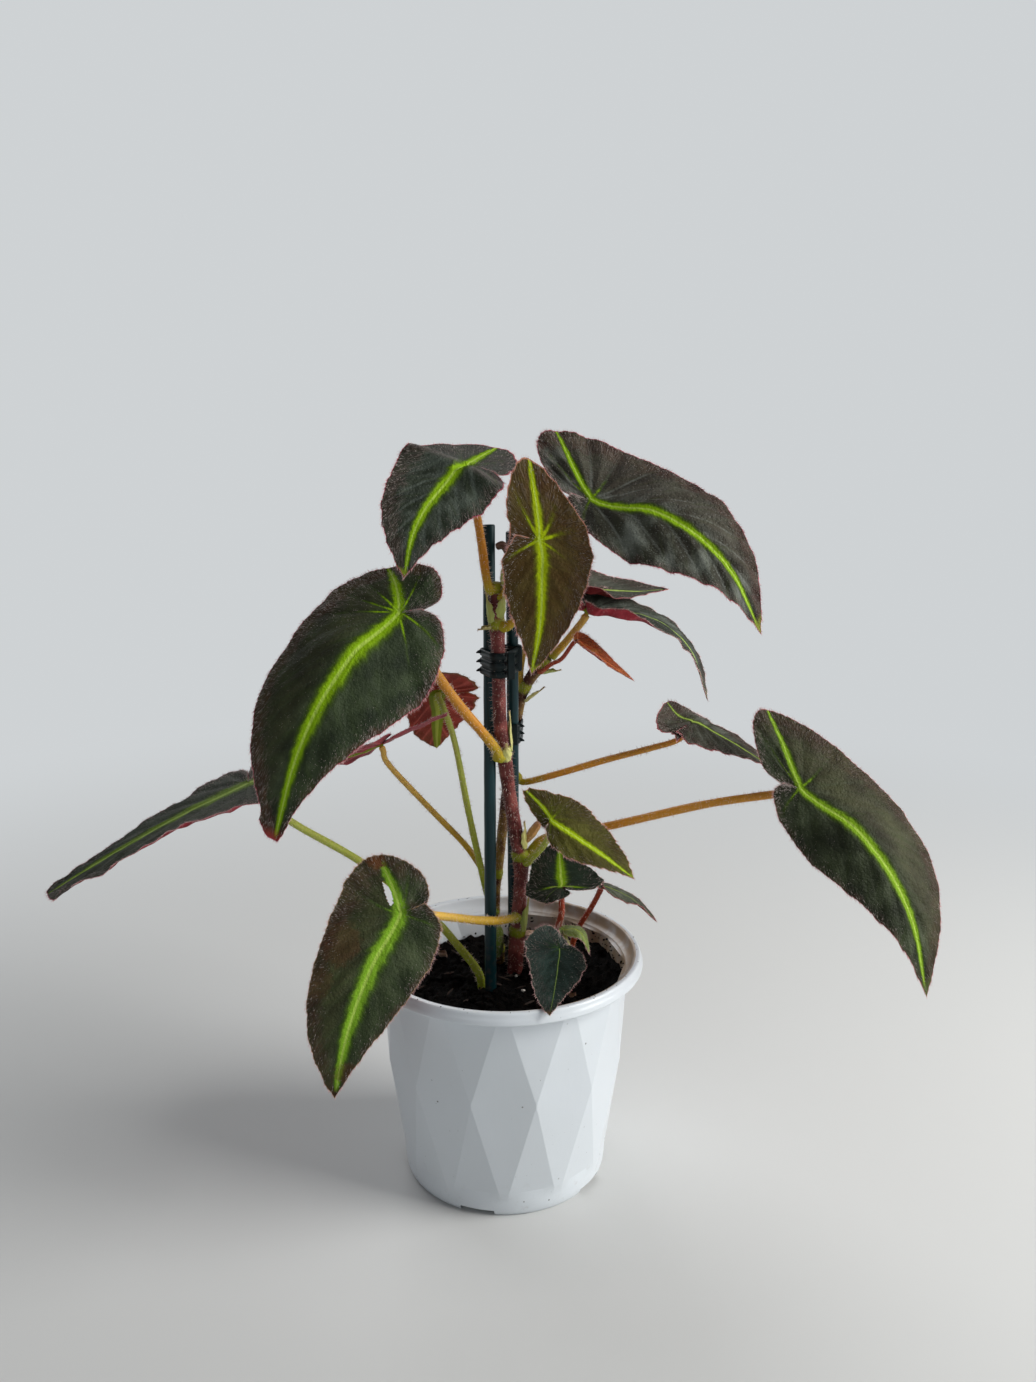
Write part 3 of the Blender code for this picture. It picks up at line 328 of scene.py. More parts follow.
LOOKS = {
    "top_left": dict(
        dark=(0.018, 0.022, 0.017), haze=(0.080, 0.092, 0.083), rear=(0.075, 0.070, 0.072), brown=0.35,
        strokes=0.6, veins=0.45, band=0.95, tip=(0.20, 0.26, 0.02), hair=1.0),
    "top_right": dict(
        dark=(0.024, 0.020, 0.016), haze=(0.150, 0.158, 0.146), outer=(0.056, 0.040, 0.034), brown=0.7,
        strokes=0.3, veins=0.45, band=0.72, glow=0.3, star=0.8, spikes=(0, 7, 15),
        tip=(0.25, 0.28, 0.04), ruffle=0.7, puff=1.0, hair=0.8),
    "centre": dict(
        dark=(0.062, 0.031, 0.010), haze=(0.085, 0.055, 0.022), veins=0.12, lime=(0.36, 0.46, 0.003),
        band=1.12, back=0.9, glow=0.35, star=1.15, tip=(0.30, 0.36, 0.02), edge=(0.58, 0.26, 0.18),
        ruffle=0.4, puff=0.4, hair=0.6, slot="blade_olive"),
    "big_left": dict(
        dark=(0.010, 0.014, 0.010), haze=(0.046, 0.056, 0.040), outer=(0.034, 0.024, 0.017), brown=1.25,
        strokes=0.8, lime=(0.19, 0.34, 0.003), band=0.92, glow=0.55, star=1.15,
        spikes=(0, 1, 7, 8, 13, 14, 15), tip=RUST, tip_from=0.935, hair=1.5),
    "far_left": dict(
        dark=(0.015, 0.017, 0.009), haze=(0.065, 0.072, 0.066), outer=(0.030, 0.026, 0.014), brown=0.6,
        strokes=0.9, lime=(0.12, 0.20, 0.003), band=1.65, glow=0.7, tip=(0.010, 0.008, 0.006),
        tip_from=0.955, edge=(0.50, 0.16, 0.19), ruffle=1.0, puff=0.6, hair=1.5, stalk=GREEN_STALK),
    "low_left": dict(
        dark=(0.019, 0.026, 0.014), haze=(0.064, 0.072, 0.046), outer=(0.044, 0.036, 0.018), brown=0.8,
        strokes=0.3, lime=(0.19, 0.37, 0.020), band=1.3, glow=0.5, star=0.8, spikes=(0, 7, 15),
        scorch=((-0.255, -0.165, 0.075, 1.0), (0.24, -0.22, 0.13, 0.35), (0.45, -0.26, 0.10, 0.3),
                (0.86, 0.03, 0.07, 0.5)),
        tip=(0.045, 0.024, 0.012), edge=(0.42, 0.26, 0.14), hair=0.9, stalk=GOLD_STALK),
    "back_red": dict(
        band=0.9, tip=RUST, edge=(0.26, 0.13, 0.05), under=UNDERSIDE_YOUNG, under_rib=2.2,
        ruffle=0.4, puff=0.3, hair=0.5, stalk=GREEN_STALK, slot="blade_red"),
    "back_left": dict(brown=0.5, band=0.8, tip=RUST, ruffle=0.5, puff=0.6, hair=0.5, stalk=GOLD_STALK),
    "small_upper": dict(
        dark=(0.050, 0.050, 0.040), haze=(0.12, 0.125, 0.11), brown=0.3, lime=(0.30, 0.42, 0.10),
        band=0.5, tip=(0.02, 0.012, 0.01), ruffle=0.4, puff=0.4, hair=0.7, stalk=GOLD_STALK),
    "drooping": dict(
        dark=(0.030, 0.034, 0.028), haze=(0.12, 0.135, 0.12), brown=0.25, lime=(0.26, 0.36, 0.10),
        band=0.5, tip=(0.10, 0.13, 0.06), edge=(0.16, 0.10, 0.08), ruffle=1.0, puff=0.6, hair=0.9,
        stalk=GOLD_STALK),
    "young_red": dict(
        dark=(0.34, 0.060, 0.024), haze=(0.30, 0.15, 0.04), brown=0.0, lime=(0.66, 0.14, 0.06),
        band=0.5, tip=(0.40, 0.10, 0.06), edge=(0.5, 0.2, 0.1), under=UNDERSIDE_YOUNG,
        ruffle=0.3, puff=0.2, hair=0.4, stalk=RED_STALK, slot="blade_red"),
    "mid_right": dict(
        dark=(0.020, 0.018, 0.012), haze=(0.095, 0.10, 0.085), lime=(0.13, 0.19, 0.03), band=0.55,
        tip=(0.05, 0.02, 0.015), edge=(0.24, 0.06, 0.07), ruffle=0.8, hair=0.9),
    "big_right": dict(
        dark=(0.010, 0.011, 0.008), haze=(0.058, 0.064, 0.048), outer=(0.066, 0.054, 0.033), brown=0.5,
        strokes=0.3, lime=(0.19, 0.34, 0.012), band=0.78, glow=0.5, star=0.9, spikes=(0, 7, 15),
        tip=(0.10, 0.13, 0.04), edge=(0.34, 0.10, 0.10), hair=0.9),
    "olive": dict(
        dark=(0.045, 0.036, 0.008), haze=(0.080, 0.068, 0.020), brown=0.25, veins=0.12,
        lime=(0.33, 0.46, 0.004), band=1.0, glow=0.6, star=0.7, tip=(0.24, 0.30, 0.03),
        edge=(0.40, 0.20, 0.12), ruffle=0.8, teeth=1.9, hair=0.5, stalk=GREEN_STALK, slot="blade_olive"),
    "low_dark": dict(
        dark=(0.0060, 0.0105, 0.0075), haze=(0.014, 0.026, 0.020), brown=0.05, lime=(0.15, 0.28, 0.003),
        band=1.2, back=0.05, star=1.7, spikes=(0, 7), tip=(0.01, 0.02, 0.01), edge=(0.03, 0.05, 0.03),
        ruffle=0.1, puff=0.2, hair=0.4, stalk=RED_STALK),
    "front": dict(
        dark=(0.0095, 0.0190, 0.0150), haze=(0.024, 0.044, 0.038), brown=0.05,
        lime=(0.030, 0.066, 0.022), band=0.30, back=0.1, star=0.9, tip=(0.10, 0.055, 0.03),
        edge=(0.08, 0.10, 0.07), ruffle=0.15, puff=0.3, hair=0.8, stalk=GREEN_STALK),
    "low_right": dict(
        dark=(0.060, 0.072, 0.048), haze=(0.18, 0.20, 0.15), brown=0.2, lime=(0.18, 0.24, 0.07),
        band=0.4, tip=(0.22, 0.05, 0.03), edge=(0.40, 0.10, 0.09), under=UNDERSIDE_YOUNG,
        ruffle=0.3, puff=0.3, hair=0.6, stalk=RED_STALK),
    "young_green": dict(
        dark=(0.16, 0.22, 0.03), haze=(0.30, 0.38, 0.16), brown=0.0, lime=(0.35, 0.42, 0.06), band=0.6,
        tip=(0.30, 0.36, 0.12), edge=(0.36, 0.40, 0.20), under=UNDERSIDE_YOUNG,
        ruffle=0.3, puff=0.2, hair=0.6, stalk=GREEN_STALK),
}
# The papery skins of stipules, buds and shoot: at their foot and at their tip.
SKINS = {
    "yellow": ((0.52, 0.50, 0.16), (0.50, 0.38, 0.16)),
    "orange": ((0.52, 0.27, 0.07), (0.36, 0.14, 0.06)),
    "green": ((0.34, 0.40, 0.09), (0.46, 0.36, 0.14)),
    "tan": ((0.40, 0.36, 0.12), (0.26, 0.15, 0.06)),
    "shoot": ((0.22, 0.34, 0.035), (0.34, 0.42, 0.08)),
}
# Each stem's skin, its pinker patches and its nodes.
SKIN_MAIN = ((0.090, 0.018, 0.017), (0.24, 0.065, 0.055), (0.24, 0.27, 0.015))
SKIN_SECOND = ((0.070, 0.020, 0.016), (0.24, 0.15, 0.035), (0.30, 0.32, 0.02))

# ---------------------------------------------------------------- numbers and curves


def unit(rows):
    return rows / np.maximum(np.linalg.norm(rows, axis=-1, keepdims=True), 1e-12)


def ease(low, high, value):
    """0 below low and 1 above high, with a smooth rise between."""
    share = np.clip((value - low) / (high - low), 0, 1)
    return share * share * (3 - 2 * share)


def dome(value, width):
    """1 at 0, falling to 0 on both sides."""
    return np.exp(-(value / width) ** 2)


def blend(a, b, first, second):
    """A colour from shares of two."""
    return tuple(first * c + second * k for c, k in zip(a, b))


def on_circle(radius, turn, height):
    return radius * math.cos(turn), radius * math.sin(turn), height


def smooth_path(points, per_span):
    """Points on a Catmull-Rom curve through rows of numbers."""
    rows = np.array(points, float)
    padded = np.vstack([2 * rows[0] - rows[1], rows, 2 * rows[-1] - rows[-2]])
    out = []
    for i in range(len(rows) - 1):
        p0, p1, p2, p3 = padded[i:i + 4]
        for step in range(per_span):
            t = step / per_span
            out.append(0.5 * (2 * p1 + (p2 - p0) * t + (2 * p0 - 5 * p1 + 4 * p2 - p3) * t * t
                              + (3 * p1 - p0 - 3 * p2 + p3) * t ** 3))
    out.append(rows[-1])
    return np.array(out)


def lengths_along(curve):
    steps = np.linalg.norm(np.diff(curve, axis=0), axis=1)
    return np.concatenate([[0], np.cumsum(steps)])


def columns_at(wanted, along, rows):
    """Every column of the rows, read off at the wanted places along."""
    return np.stack([np.interp(wanted, along, rows[:, k]) for k in range(rows.shape[1])], -1)


def even_points(curve, count):
    """The same curve as count points at equal spacing."""
    along = lengths_along(curve[:, :3])
    return columns_at(np.linspace(0, along[-1], count), along, curve)


def waves(points, scale, seed, octaves=3):
    """Smooth seeded noise from -1 to 1 at rows of (x, y, z), with detail down from the given size."""
    shift = Vector((seed * 7.31, seed * 3.77, seed * 5.13))
    return np.array([noise.fractal(Vector(p) / scale + shift, 1.0, 2.0, octaves) for p in points])


def nearest(points, targets):
    """Distance to the nearest target, and its number, in slices that fit the memory."""
    away = np.full(len(points), 1e9)
    which = np.zeros(len(points), int)
    for start in range(0, len(points), 4000):
        gaps = np.linalg.norm(points[start:start + 4000, None] - targets[None], axis=2)
        which[start:start + 4000] = gaps.argmin(1)
        away[start:start + 4000] = gaps.min(1)
    return away, which


def bend_kernel(distance):
    safe = np.maximum(distance, 1e-9)
    return safe ** 2 * np.log(safe)


class Sheet:
    """The smooth surface through a leaf's eight named points."""

    def __init__(self, leaf):
        places = np.array([leaf[name] for name in FLAT], float)
        # Two more points keep the rib an even curve.
        ribs = np.array([[0.375, 0.75, -0.125], [-0.125, 0.75, 0.375]]) @ places[:3]
        places = np.vstack([places, ribs])
        self.flat = np.array(list(FLAT.values()) + [(0.25, 0.0), (0.75, 0.0)])
        spread = np.linalg.norm(self.flat[:, None] - self.flat[None], axis=2)
        sides = np.hstack([np.ones((len(self.flat), 1)), self.flat])
        system = np.block([[bend_kernel(spread), sides], [sides.T, np.zeros((3, 3))]])
        self.weights = np.linalg.solve(system, np.vstack([places, np.zeros((3, 3))]))
        self.flip = -1.0 if leaf["sinus"] == "left" else 1.0
        rib = self.place(np.stack([np.linspace(0, 1, 20), np.zeros(20)], 1))
        self.length = lengths_along(rib)[-1]

    def place(self, flat):
        spread = np.linalg.norm(flat[:, None] - self.flat[None], axis=2)
        return np.hstack([bend_kernel(spread), np.ones((len(flat), 1)), flat]) @ self.weights

    def normal(self, flat):
        step = 1e-3
        along = self.place(flat + (step, 0)) - self.place(flat - (step, 0))
        across = self.place(flat + (0, step)) - self.place(flat - (0, step))
        return unit(np.cross(across, along) * self.flip)


# ---------------------------------------------------------------- meshes


def link_new(name, data):
    obj = bpy.data.objects.new(name, data)
    bpy.context.scene.collection.objects.link(obj)
    return obj


def new_mesh(name, verts, faces):
    """A mesh in metres from vertices in millimetres."""
    mesh = bpy.data.meshes.new(name)
    mesh.from_pydata(np.asarray(verts, float) * MM, [], faces)
    return mesh


def finish_piece(obj, slot, *nodes):
    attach(obj, "root")
    if nodes:
        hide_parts(*nodes)
    return obj


def grid_faces(rows, columns, start=0, closed=False, flip=False):
    """Quads over a grid of rows, whose last column joins its first if closed."""
    faces = []
    for r in range(rows - 1):
        for c in range(columns if closed else columns - 1):
            n = (c + 1) % columns
            a, b = start + r * columns + c, start + r * columns + n
            quad = (a, b, b + columns, a + columns)
            faces.append(quad[::-1] if flip else quad)
    return faces


def end_caps(rows, columns):
    """The two faces that close a tube of rows."""
    return [tuple(reversed(range(columns))), tuple(range((rows - 1) * columns, rows * columns))]


def take_apart(solid):
    """Points and faces of a bmesh, which is freed."""
    points = np.array([vert.co for vert in solid.verts])
    faces = [[vert.index for vert in face.verts] for face in solid.faces]
    solid.free()
    return points, faces


class Build:
    """Gathers vertices (mm), faces, material numbers and vertex values, and makes one object."""

    def __init__(self):
        self.verts = []
        self.faces = []
        self.slots = []
        self.values = {}
        self.count = 0

    def more_faces(self, faces, slot=0, start=0):
        self.faces.extend([int(v) + start for v in face] for face in faces)
        self.slots.extend([slot] * len(faces))

    def add(self, verts, faces, slot=0, **values):
        verts = np.asarray(verts, float).reshape(-1, 3)
        self.more_faces(faces, slot, self.count)
        for key, value in values.items():
            self.values.setdefault(key, []).append((self.count, np.asarray(value, float)))
        self.verts.append(verts)
        self.count += len(verts)

    def add_tube(self, rows, sides, slot=0, ridge=0.0, ridges=5, **values):
        """A closed tube round (x, y, z, radius) rows, with each vertex's share along it."""
        centres = rows[:, :3]
        tangents = unit(np.gradient(centres, axis=0))
        start = np.array([0.0, -1.0, 0.0]) if abs(tangents[0][1]) < 0.8 else np.array([1.0, 0.0, 0.0])
        side = np.cross(tangents[0], start)
        turns = (np.arange(sides) * TAU / sides)[:, None]
        verts = []
        for centre, tangent, radius in zip(centres, tangents, rows[:, 3]):
            side = unit(side - tangent * side.dot(tangent))
            up = np.cross(tangent, side)
            reach = radius * (1 + ridge * np.cos(ridges * turns))
            verts.append(centre + reach * (np.cos(turns) * side + np.sin(turns) * up))
        share = lengths_along(centres)
        share = np.repeat(share / share[-1], sides)
        faces = grid_faces(len(rows), sides, closed=True) + end_caps(len(rows), sides)
        self.add(np.vstack(verts), faces, slot, along=share, **values)

    def add_bristles(self, roots, ways, lengths, width, slot):
        """Fine tapered hairs: a three-sided spike from each root, the given way."""
        ways = unit(ways)
        side = unit(np.cross(ways, rng.normal(size=ways.shape)))
        up = np.cross(ways, side)
        corners = [roots + width * (math.cos(turn) * side + math.sin(turn) * up)
                   for turn in (0, TAU / 3, 2 * TAU / 3)]
        tips = roots + ways * np.asarray(lengths)[:, None]
        first = np.arange(len(roots)) * 4
        faces = [np.stack([first + a, first + (a + 1) % 3, first + 3], 1) for a in range(3)]
        self.add(np.stack([*corners, tips], 1), np.concatenate(faces).tolist(), slot)

    def add_tube_hairs(self, rows, count, length, width, lean=0.25):
        """Hairs standing out of a tube all round."""
        along = lengths_along(rows[:, :3])
        where = rng.uniform(0.02, 0.98, count) * along[-1]
        centre = columns_at(where, along, rows)
        tangent = unit(columns_at(where, along, unit(np.gradient(rows[:, :3], axis=0))))
        out = rng.normal(size=(count, 3))
        out = unit(out - tangent * np.sum(out * tangent, 1, keepdims=True))
        roots = centre[:, :3] + out * centre[:, 3:] * 0.97
        ways = out + tangent * rng.normal(0, lean, (count, 1)) + rng.normal(0, 0.12, (count, 3))
        self.add_bristles(roots, ways, length * rng.uniform(0.55, 1.2, count), width, 1)

    def make(self, name, finishes, sharp=40.0):
        mesh = new_mesh(name, np.vstack(self.verts), self.faces)
        for finish in finishes:
            mesh.materials.append(finish)
        mesh.polygons.foreach_set("material_index", self.slots)
        for key, parts in self.values.items():
            wide = parts[0][1].ndim == 2
            whole = np.zeros((self.count, 3) if wide else self.count, np.float32)
            for start, value in parts:
                whole[start:start + len(value)] = value
            layer = mesh.attributes.new(key, "FLOAT_VECTOR" if wide else "FLOAT", "POINT")
            layer.data.foreach_set("vector" if wide else "value", whole.ravel())
        turned = bmesh.new()
        turned.from_mesh(mesh)
        bmesh.ops.recalc_face_normals(turned, faces=turned.faces[:])
        turned.to_mesh(mesh)
        turned.free()
        mesh.shade_smooth()
        mesh.set_sharp_from_angle(angle=math.radians(sharp))
        return link_new(name, mesh)

    def piece(self, name, finishes, slot, *nodes, sharp=40.0):
        return finish_piece(self.make(name, finishes, sharp), slot, *nodes)


# ---------------------------------------------------------------- finishes


class Finish:
    """A material whose nodes make the colour, roughness and bump of one Principled shader."""

    def __init__(self, name, roughness=0.5, **fixed):
        self.material = bpy.data.materials.new(name)
        self.material.use_nodes = True
        self.tree = self.material.node_tree
        self.shader = self.tree.nodes["Principled BSDF"]
        self.shader.inputs["Roughness"].default_value = roughness
        for key, value in fixed.items():
            self.put(self.shader.inputs[key.replace("_", " ")], value)
        self.place = self.vector("SCALE", self.node("TexCoord", {}, "Object"), scale=1 / MM)
        self.heights = []

    def put(self, socket, value):
        """Links an output to a socket, or sets a number, colour or vector on it."""
        if isinstance(value, bpy.types.NodeSocket):
            self.tree.links.new(value, socket)
        elif isinstance(value, tuple) and socket.type == "RGBA":
            socket.default_value = (*value, 1.0)
        else:
            socket.default_value = value

    def node(self, kind, inputs, out=0, **settings):
        """One output of a new shader node with these settings, and these inputs unless None."""
        node = self.tree.nodes.new("ShaderNode" + kind)
        for key, value in settings.items():
            setattr(node, key, value)
        for key, value in inputs.items():
            if value is not None:
                self.put(node.inputs[key], value)
        return node.outputs[out]

    def vector(self, operation, a, b=None, scale=None):
        out = "Value" if operation in ("LENGTH", "DOT_PRODUCT") else "Vector"
        return self.node("VectorMath", {0: a, 1: b, "Scale": scale}, out, operation=operation)

    def pair(self, a, b):
        """A place made of two values."""
        return self.node("CombineXYZ", {0: a, 1: b})

    def calc(self, operation, a, b=None, c=None):
        return self.node("Math", {0: a, 1: b, 2: c}, operation=operation)

    def times(self, a, b):
        return self.calc("MULTIPLY", a, b)

    def less(self, a, b):
        return self.calc("SUBTRACT", a, b)

    def scaled(self, a, share, base):
        """The value times the share, with the base added."""
        return self.calc("MULTIPLY_ADD", a, share, base)

    def rise(self, value, low, high):
        """0 where the value is at low and 1 at high, with a smooth step between."""
        inputs = {0: value, 1: low, 2: high, 3: 0.0, 4: 1.0}
        return self.node("MapRange", inputs, interpolation_type="SMOOTHSTEP")

    def mix(self, share, a, b, blend="MIX"):
        return self.node("Mix", {0: share, 6: a, 7: b}, 2, data_type="RGBA", blend_type=blend)

    def cover(self, colour, over, *shares):
        """The colour with another over it, by the product of the shares."""
        share = shares[0]
        for other in shares[1:]:
            share = self.times(share, other)
        return self.mix(share, colour, over)

    def grain(self, share, colour, value, low, high):
        """The colour made darker and lighter by a value, between two greys or colours."""
        low, high = (grey if isinstance(grey, tuple) else (grey,) * 3 for grey in (low, high))
        return self.mix(share, colour, self.mix(value, low, high), "OVERLAY")

    def ramp(self, value, *stops):
        """A colour or a grey for the value, from (place, colour or number) stops."""
        out = self.node("ValToRGB", {0: value})
        ramp = out.node.color_ramp
        ramp.elements[0].position = stops[0][0]
        ramp.elements[1].position = stops[-1][0]
        for place, _ in stops[1:-1]:
            ramp.elements.new(place)
        for element, (_, colour) in zip(ramp.elements, stops):
            element.color = (*colour, 1.0) if isinstance(colour, tuple) else (colour,) * 3 + (1.0,)
        return out

    def noise(self, size, detail=2.0, roughness=0.5, place=None, distortion=0.0):
        """Cloudy noise round 0.5 with features of the given size in mm."""
        return self.node("TexNoise", {"Vector": place or self.place, "Scale": 1.0 / size, "Detail": detail,
                                      "Roughness": roughness, "Distortion": distortion})

    def streaks(self, size, detail, *stretch):
        """Noise drawn out along an axis whose share is below 1."""
        return self.noise(size, detail, place=self.vector("MULTIPLY", self.place, stretch))

    def cells(self, size):
        """Distance from the middle of cells of the given size in mm."""
        return self.node("TexVoronoi", {"Vector": self.place, "Scale": 1.0 / size}, "Distance")

    def value(self, name, channel=None):
        """A value that the mesh carries, or one channel of it."""
        out = "Fac" if channel is None else "Vector"
        value = self.node("Attribute", {}, out, attribute_type="GEOMETRY", attribute_name=name)
        return value if channel is None else self.node("SeparateXYZ", {0: value}, channel)

    def axis(self, channel):
        return self.node("SeparateXYZ", {0: self.place}, channel)

    def bump(self, height, depth, strength=1.0):
        """Adds relief of the given depth in mm."""
        self.heights.append({"Height": height, "Distance": depth * MM, "Strength": strength})

    def done(self, colour, roughness=None):
        normal = None
        for inputs in self.heights:
            normal = self.node("Bump", dict(inputs, Normal=normal))
        for key, value in (("Base Color", colour), ("Roughness", roughness), ("Normal", normal)):
            if value is not None:
                self.put(self.shader.inputs[key], value)
        return self.material

    def speckled(self, colour, size, pale, share):
        """The colour with small pale dots at cell middles."""
        return self.cover(colour, pale, self.rise(self.cells(size), 0.28, 0.12), share)

    def fan_out(self, p, q, side, across, along):
        """Texture places drawn out along the side veins, with features this wide and long (of the rib)."""
        return self.pair(self.times(self.scaled(side, -0.8, p), 1 / across), self.times(q, 1 / along))

    def from_line(self, along, off):
        """Distance from a half line that starts at 0 and runs along the first value."""
        return self.vector("LENGTH", self.pair(self.calc("MINIMUM", along, 0.0), off))


def bristle_finish(name, colour, tip):
    f = Finish(name, roughness=0.6, Specular_IOR_Level=0.2)
    return f.done(f.mix(f.noise(2.5), colour, tip))


def blade_field(f, look, p, q, vein, rim, around, cloud):
    """The dark blade: slate haze drawn along the veins, partly its grey tone and partly painted sheen, brown
    towards the outer margin, and strokes.
    """
    haze = look["haze"]
    side = f.calc("ABSOLUTE", q)
    drawn = f.noise(1.0, place=f.fan_out(p, q, side, 0.09, 0.35))
    # The haze, partly the leaf's grey tone and partly painted sheen, follows the side veins.
    hazy = f.rise(f.scaled(drawn, 0.4, f.times(cloud, 0.6)), 0.44, 0.68)
    field = f.mix(hazy, look["dark"], haze)
    if look["outer"]:
        field = f.cover(field, look["outer"], f.rise(q, 0.0, -0.12), f.scaled(cloud, 1.2, 0.1))
    field = f.cover(field, tuple(1.5 * c for c in haze), f.rise(vein, 1.0, 0.15), look["veins"])
    ragged = f.scaled(f.noise(4.5, detail=3.0), 12.0, f.less(rim, 6.0))
    reach = f.scaled(f.rise(q, 0.05, -0.05), -6.5, ragged)
    field = f.cover(field, BROWN, f.rise(reach, 5.0, -1.5), look["brown"])
    strokes = f.noise(1.0, detail=1.0, place=f.pair(f.times(around, 1 / 0.75), f.times(rim, 1 / 3.2)))
    strokes = f.times(f.rise(strokes, 0.50, 0.60), f.rise(reach, 9.0, 0.0))
    field = f.cover(field, STROKE, strokes, look["strokes"])
    # Painted sheen on the part behind the fold, and a painted highlight along the fold's ridge.
    if look["rear"]:
        field = f.cover(field, look["rear"], f.rise(p, 0.05, -0.04), 0.6)
        ridge = f.calc("ABSOLUTE", f.less(p, 0.045))
        field = f.cover(field, (0.20, 0.155, 0.16), f.rise(ridge, 0.045, 0.0), 0.45)
    fine = f.noise(0.9)
    field = f.grain(0.5, field, fine, 0.25, 0.75)
    return f.speckled(field, 1.25, tuple(1.4 * c for c in haze), 0.45), side, strokes, fine


def lime_band(f, look, p, q, side, star):
    """Distance from the band along the rib and back over the basal lobe, in its half widths.

    It is feathered along the side veins, and runs out along some of them where the stalk joins.
    """
    width = 0.1 * look["band"]
    half = f.ramp(p, (0.0, 0.26), (0.2, 0.32), (0.6, 0.25), (0.9, 0.12), (1.0, 0.05))
    across = f.calc("DIVIDE", f.from_line(p, q), f.times(half, width))
    way_p, way_q = BACK_WAY
    back = f.calc("ADD", f.times(p, way_p), f.times(q, way_q))
    off = f.less(f.times(q, -way_p), f.times(p, -way_q))
    base_half = f.ramp(back, (0.0, 0.22), (0.12, 0.20), (0.28, 0.11), (0.34, 0.06))
    base_half = f.times(base_half, width * look["back"])
    nearest = f.calc("MINIMUM", across, f.calc("DIVIDE", f.from_line(back, off), base_half))
    nearest = f.calc("MINIMUM", nearest, f.scaled(star, -1.8, 2.0))
    feather = f.noise(1.0, place=f.fan_out(p, q, side, 0.035, 0.16))
    loose = f.times(f.less(feather, 0.5), f.rise(nearest, 0.35, 1.3))
    return f.scaled(loose, 1.3, nearest)


def blade_top(name, look):
    f = Finish(f"{name}_top", Specular_IOR_Level=0.10)
    p, q, vein = (f.value("flat", k) for k in range(3))
    rim, around, star = (f.value("edge", k) for k in range(3))
    dark, lime = look["dark"], look["lime"]
    cloud = f.noise(13.0, detail=3.0)
    field, side, strokes, fine = blade_field(f, look, p, q, vein, rim, around, cloud)
    blurred = lime_band(f, look, p, q, side, star)
    pale = blend(lime, (0.60, 0.78, 0.16), 0.55, 0.45)
    band = f.ramp(f.times(blurred, 0.4), (0.0, pale), (0.05, pale), (0.13, tuple(c * 1.15 for c in lime)),
                  (0.27, lime), (0.47, blend(lime, dark, 0.26, 0.5)), (0.80, dark))
    glow = f.times(f.rise(blurred, 3.6, 0.8), f.scaled(cloud, 2.4, -0.5))
    field = f.cover(field, blend(lime, look["haze"], 0.18, 0.8), glow, look["glow"])
    colour = f.mix(f.rise(blurred, 0.95, 2.2), band, field)
    for spot_p, spot_q, size, share in look["scorch"]:
        near = f.vector("LENGTH", f.pair(f.less(p, spot_p), f.less(q, spot_q)))
        burnt = f.scaled(f.noise(2.5, detail=3.0), 0.08, near)
        colour = f.cover(colour, SCORCH, f.rise(burnt, size + 0.04, size), share)
    colour = f.mix(f.rise(p, look["tip_from"], look["tip_from"] + 0.045), colour, look["tip"])
    colour = f.cover(colour, look["edge"], f.rise(rim, 0.50, 0.18), 0.8)
    f.bump(f.noise(0.6), 0.30)
    f.bump(f.cells(1.25), 0.28, 0.8)
    f.bump(f.noise(3.2), 0.6, 0.7)
    f.bump(strokes, 0.25)
    return f.done(colour, f.scaled(fine, 0.2, 0.52))


def blade_under(name, look):
    """The red underside, brightened as painted light shining through the blade, rusty towards the tip, with
    pinker veins and a green rib.
    """
    f = Finish(f"{name}_under", Specular_IOR_Level=0.15)
    p, q, vein = (f.value("flat", k) for k in range(3))
    base = look["under"]
    colour = f.mix(f.rise(f.noise(7.0, detail=3.0), 0.35, 0.65), tuple(0.55 * c for c in base), base)
    colour = f.cover(colour, (0.11, 0.055, 0.018), f.rise(p, 0.45, 0.95), 0.6)
    pink = tuple(min(1.0, 1.5 * c + 0.05) for c in base)
    colour = f.cover(colour, pink, f.rise(vein, 0.75, 0.2), 0.6)
    half = f.ramp(p, (0.0, 0.30), (0.5, 0.28), (1.0, 0.12))
    across = f.calc("DIVIDE", f.from_line(p, q), f.times(half, 0.08 * look["under_rib"]))
    colour = f.mix(f.rise(across, 1.3, 0.85), colour, (0.20, 0.26, 0.008))
    colour = f.mix(f.rise(across, 0.45, 0.2), colour, (0.42, 0.48, 0.06))
    colour = f.cover(colour, look["edge"], f.rise(f.value("edge", 0), 1.0, 0.2), 0.7)
    colour = f.speckled(colour, 1.1, pink, 0.3)
    fine = f.noise(0.8)
    f.bump(fine, 0.18)
    return f.done(colour, f.scaled(fine, 0.2, 0.45))


def stalk_finish(name, colours):
    """A stalk's colour from its root to its blade, with fine streaks and pale specks."""
    f = Finish(name, Specular_IOR_Level=0.22, Subsurface_Weight=0.12, Subsurface_Radius=(0.6, 0.25, 0.1),
               Subsurface_Scale=0.002)
    wobble = f.scaled(f.noise(5.0), 0.16, f.less(f.value("along"), 0.08))
    colour = f.ramp(wobble, (0.0, colours[0]), (0.22, colours[1]), (0.85, colours[2]), (1.0, colours[2]))
    streak = f.streaks(0.8, 3.0, 1.0, 1.0, 0.22)
    colour = f.grain(0.45, colour, streak, 0.2, 0.8)
    colour = f.speckled(colour, 1.0, (0.62, 0.42, 0.30), 0.30)
    f.bump(streak, 0.12)
    return f.done(colour, f.scaled(streak, 0.2, 0.36))


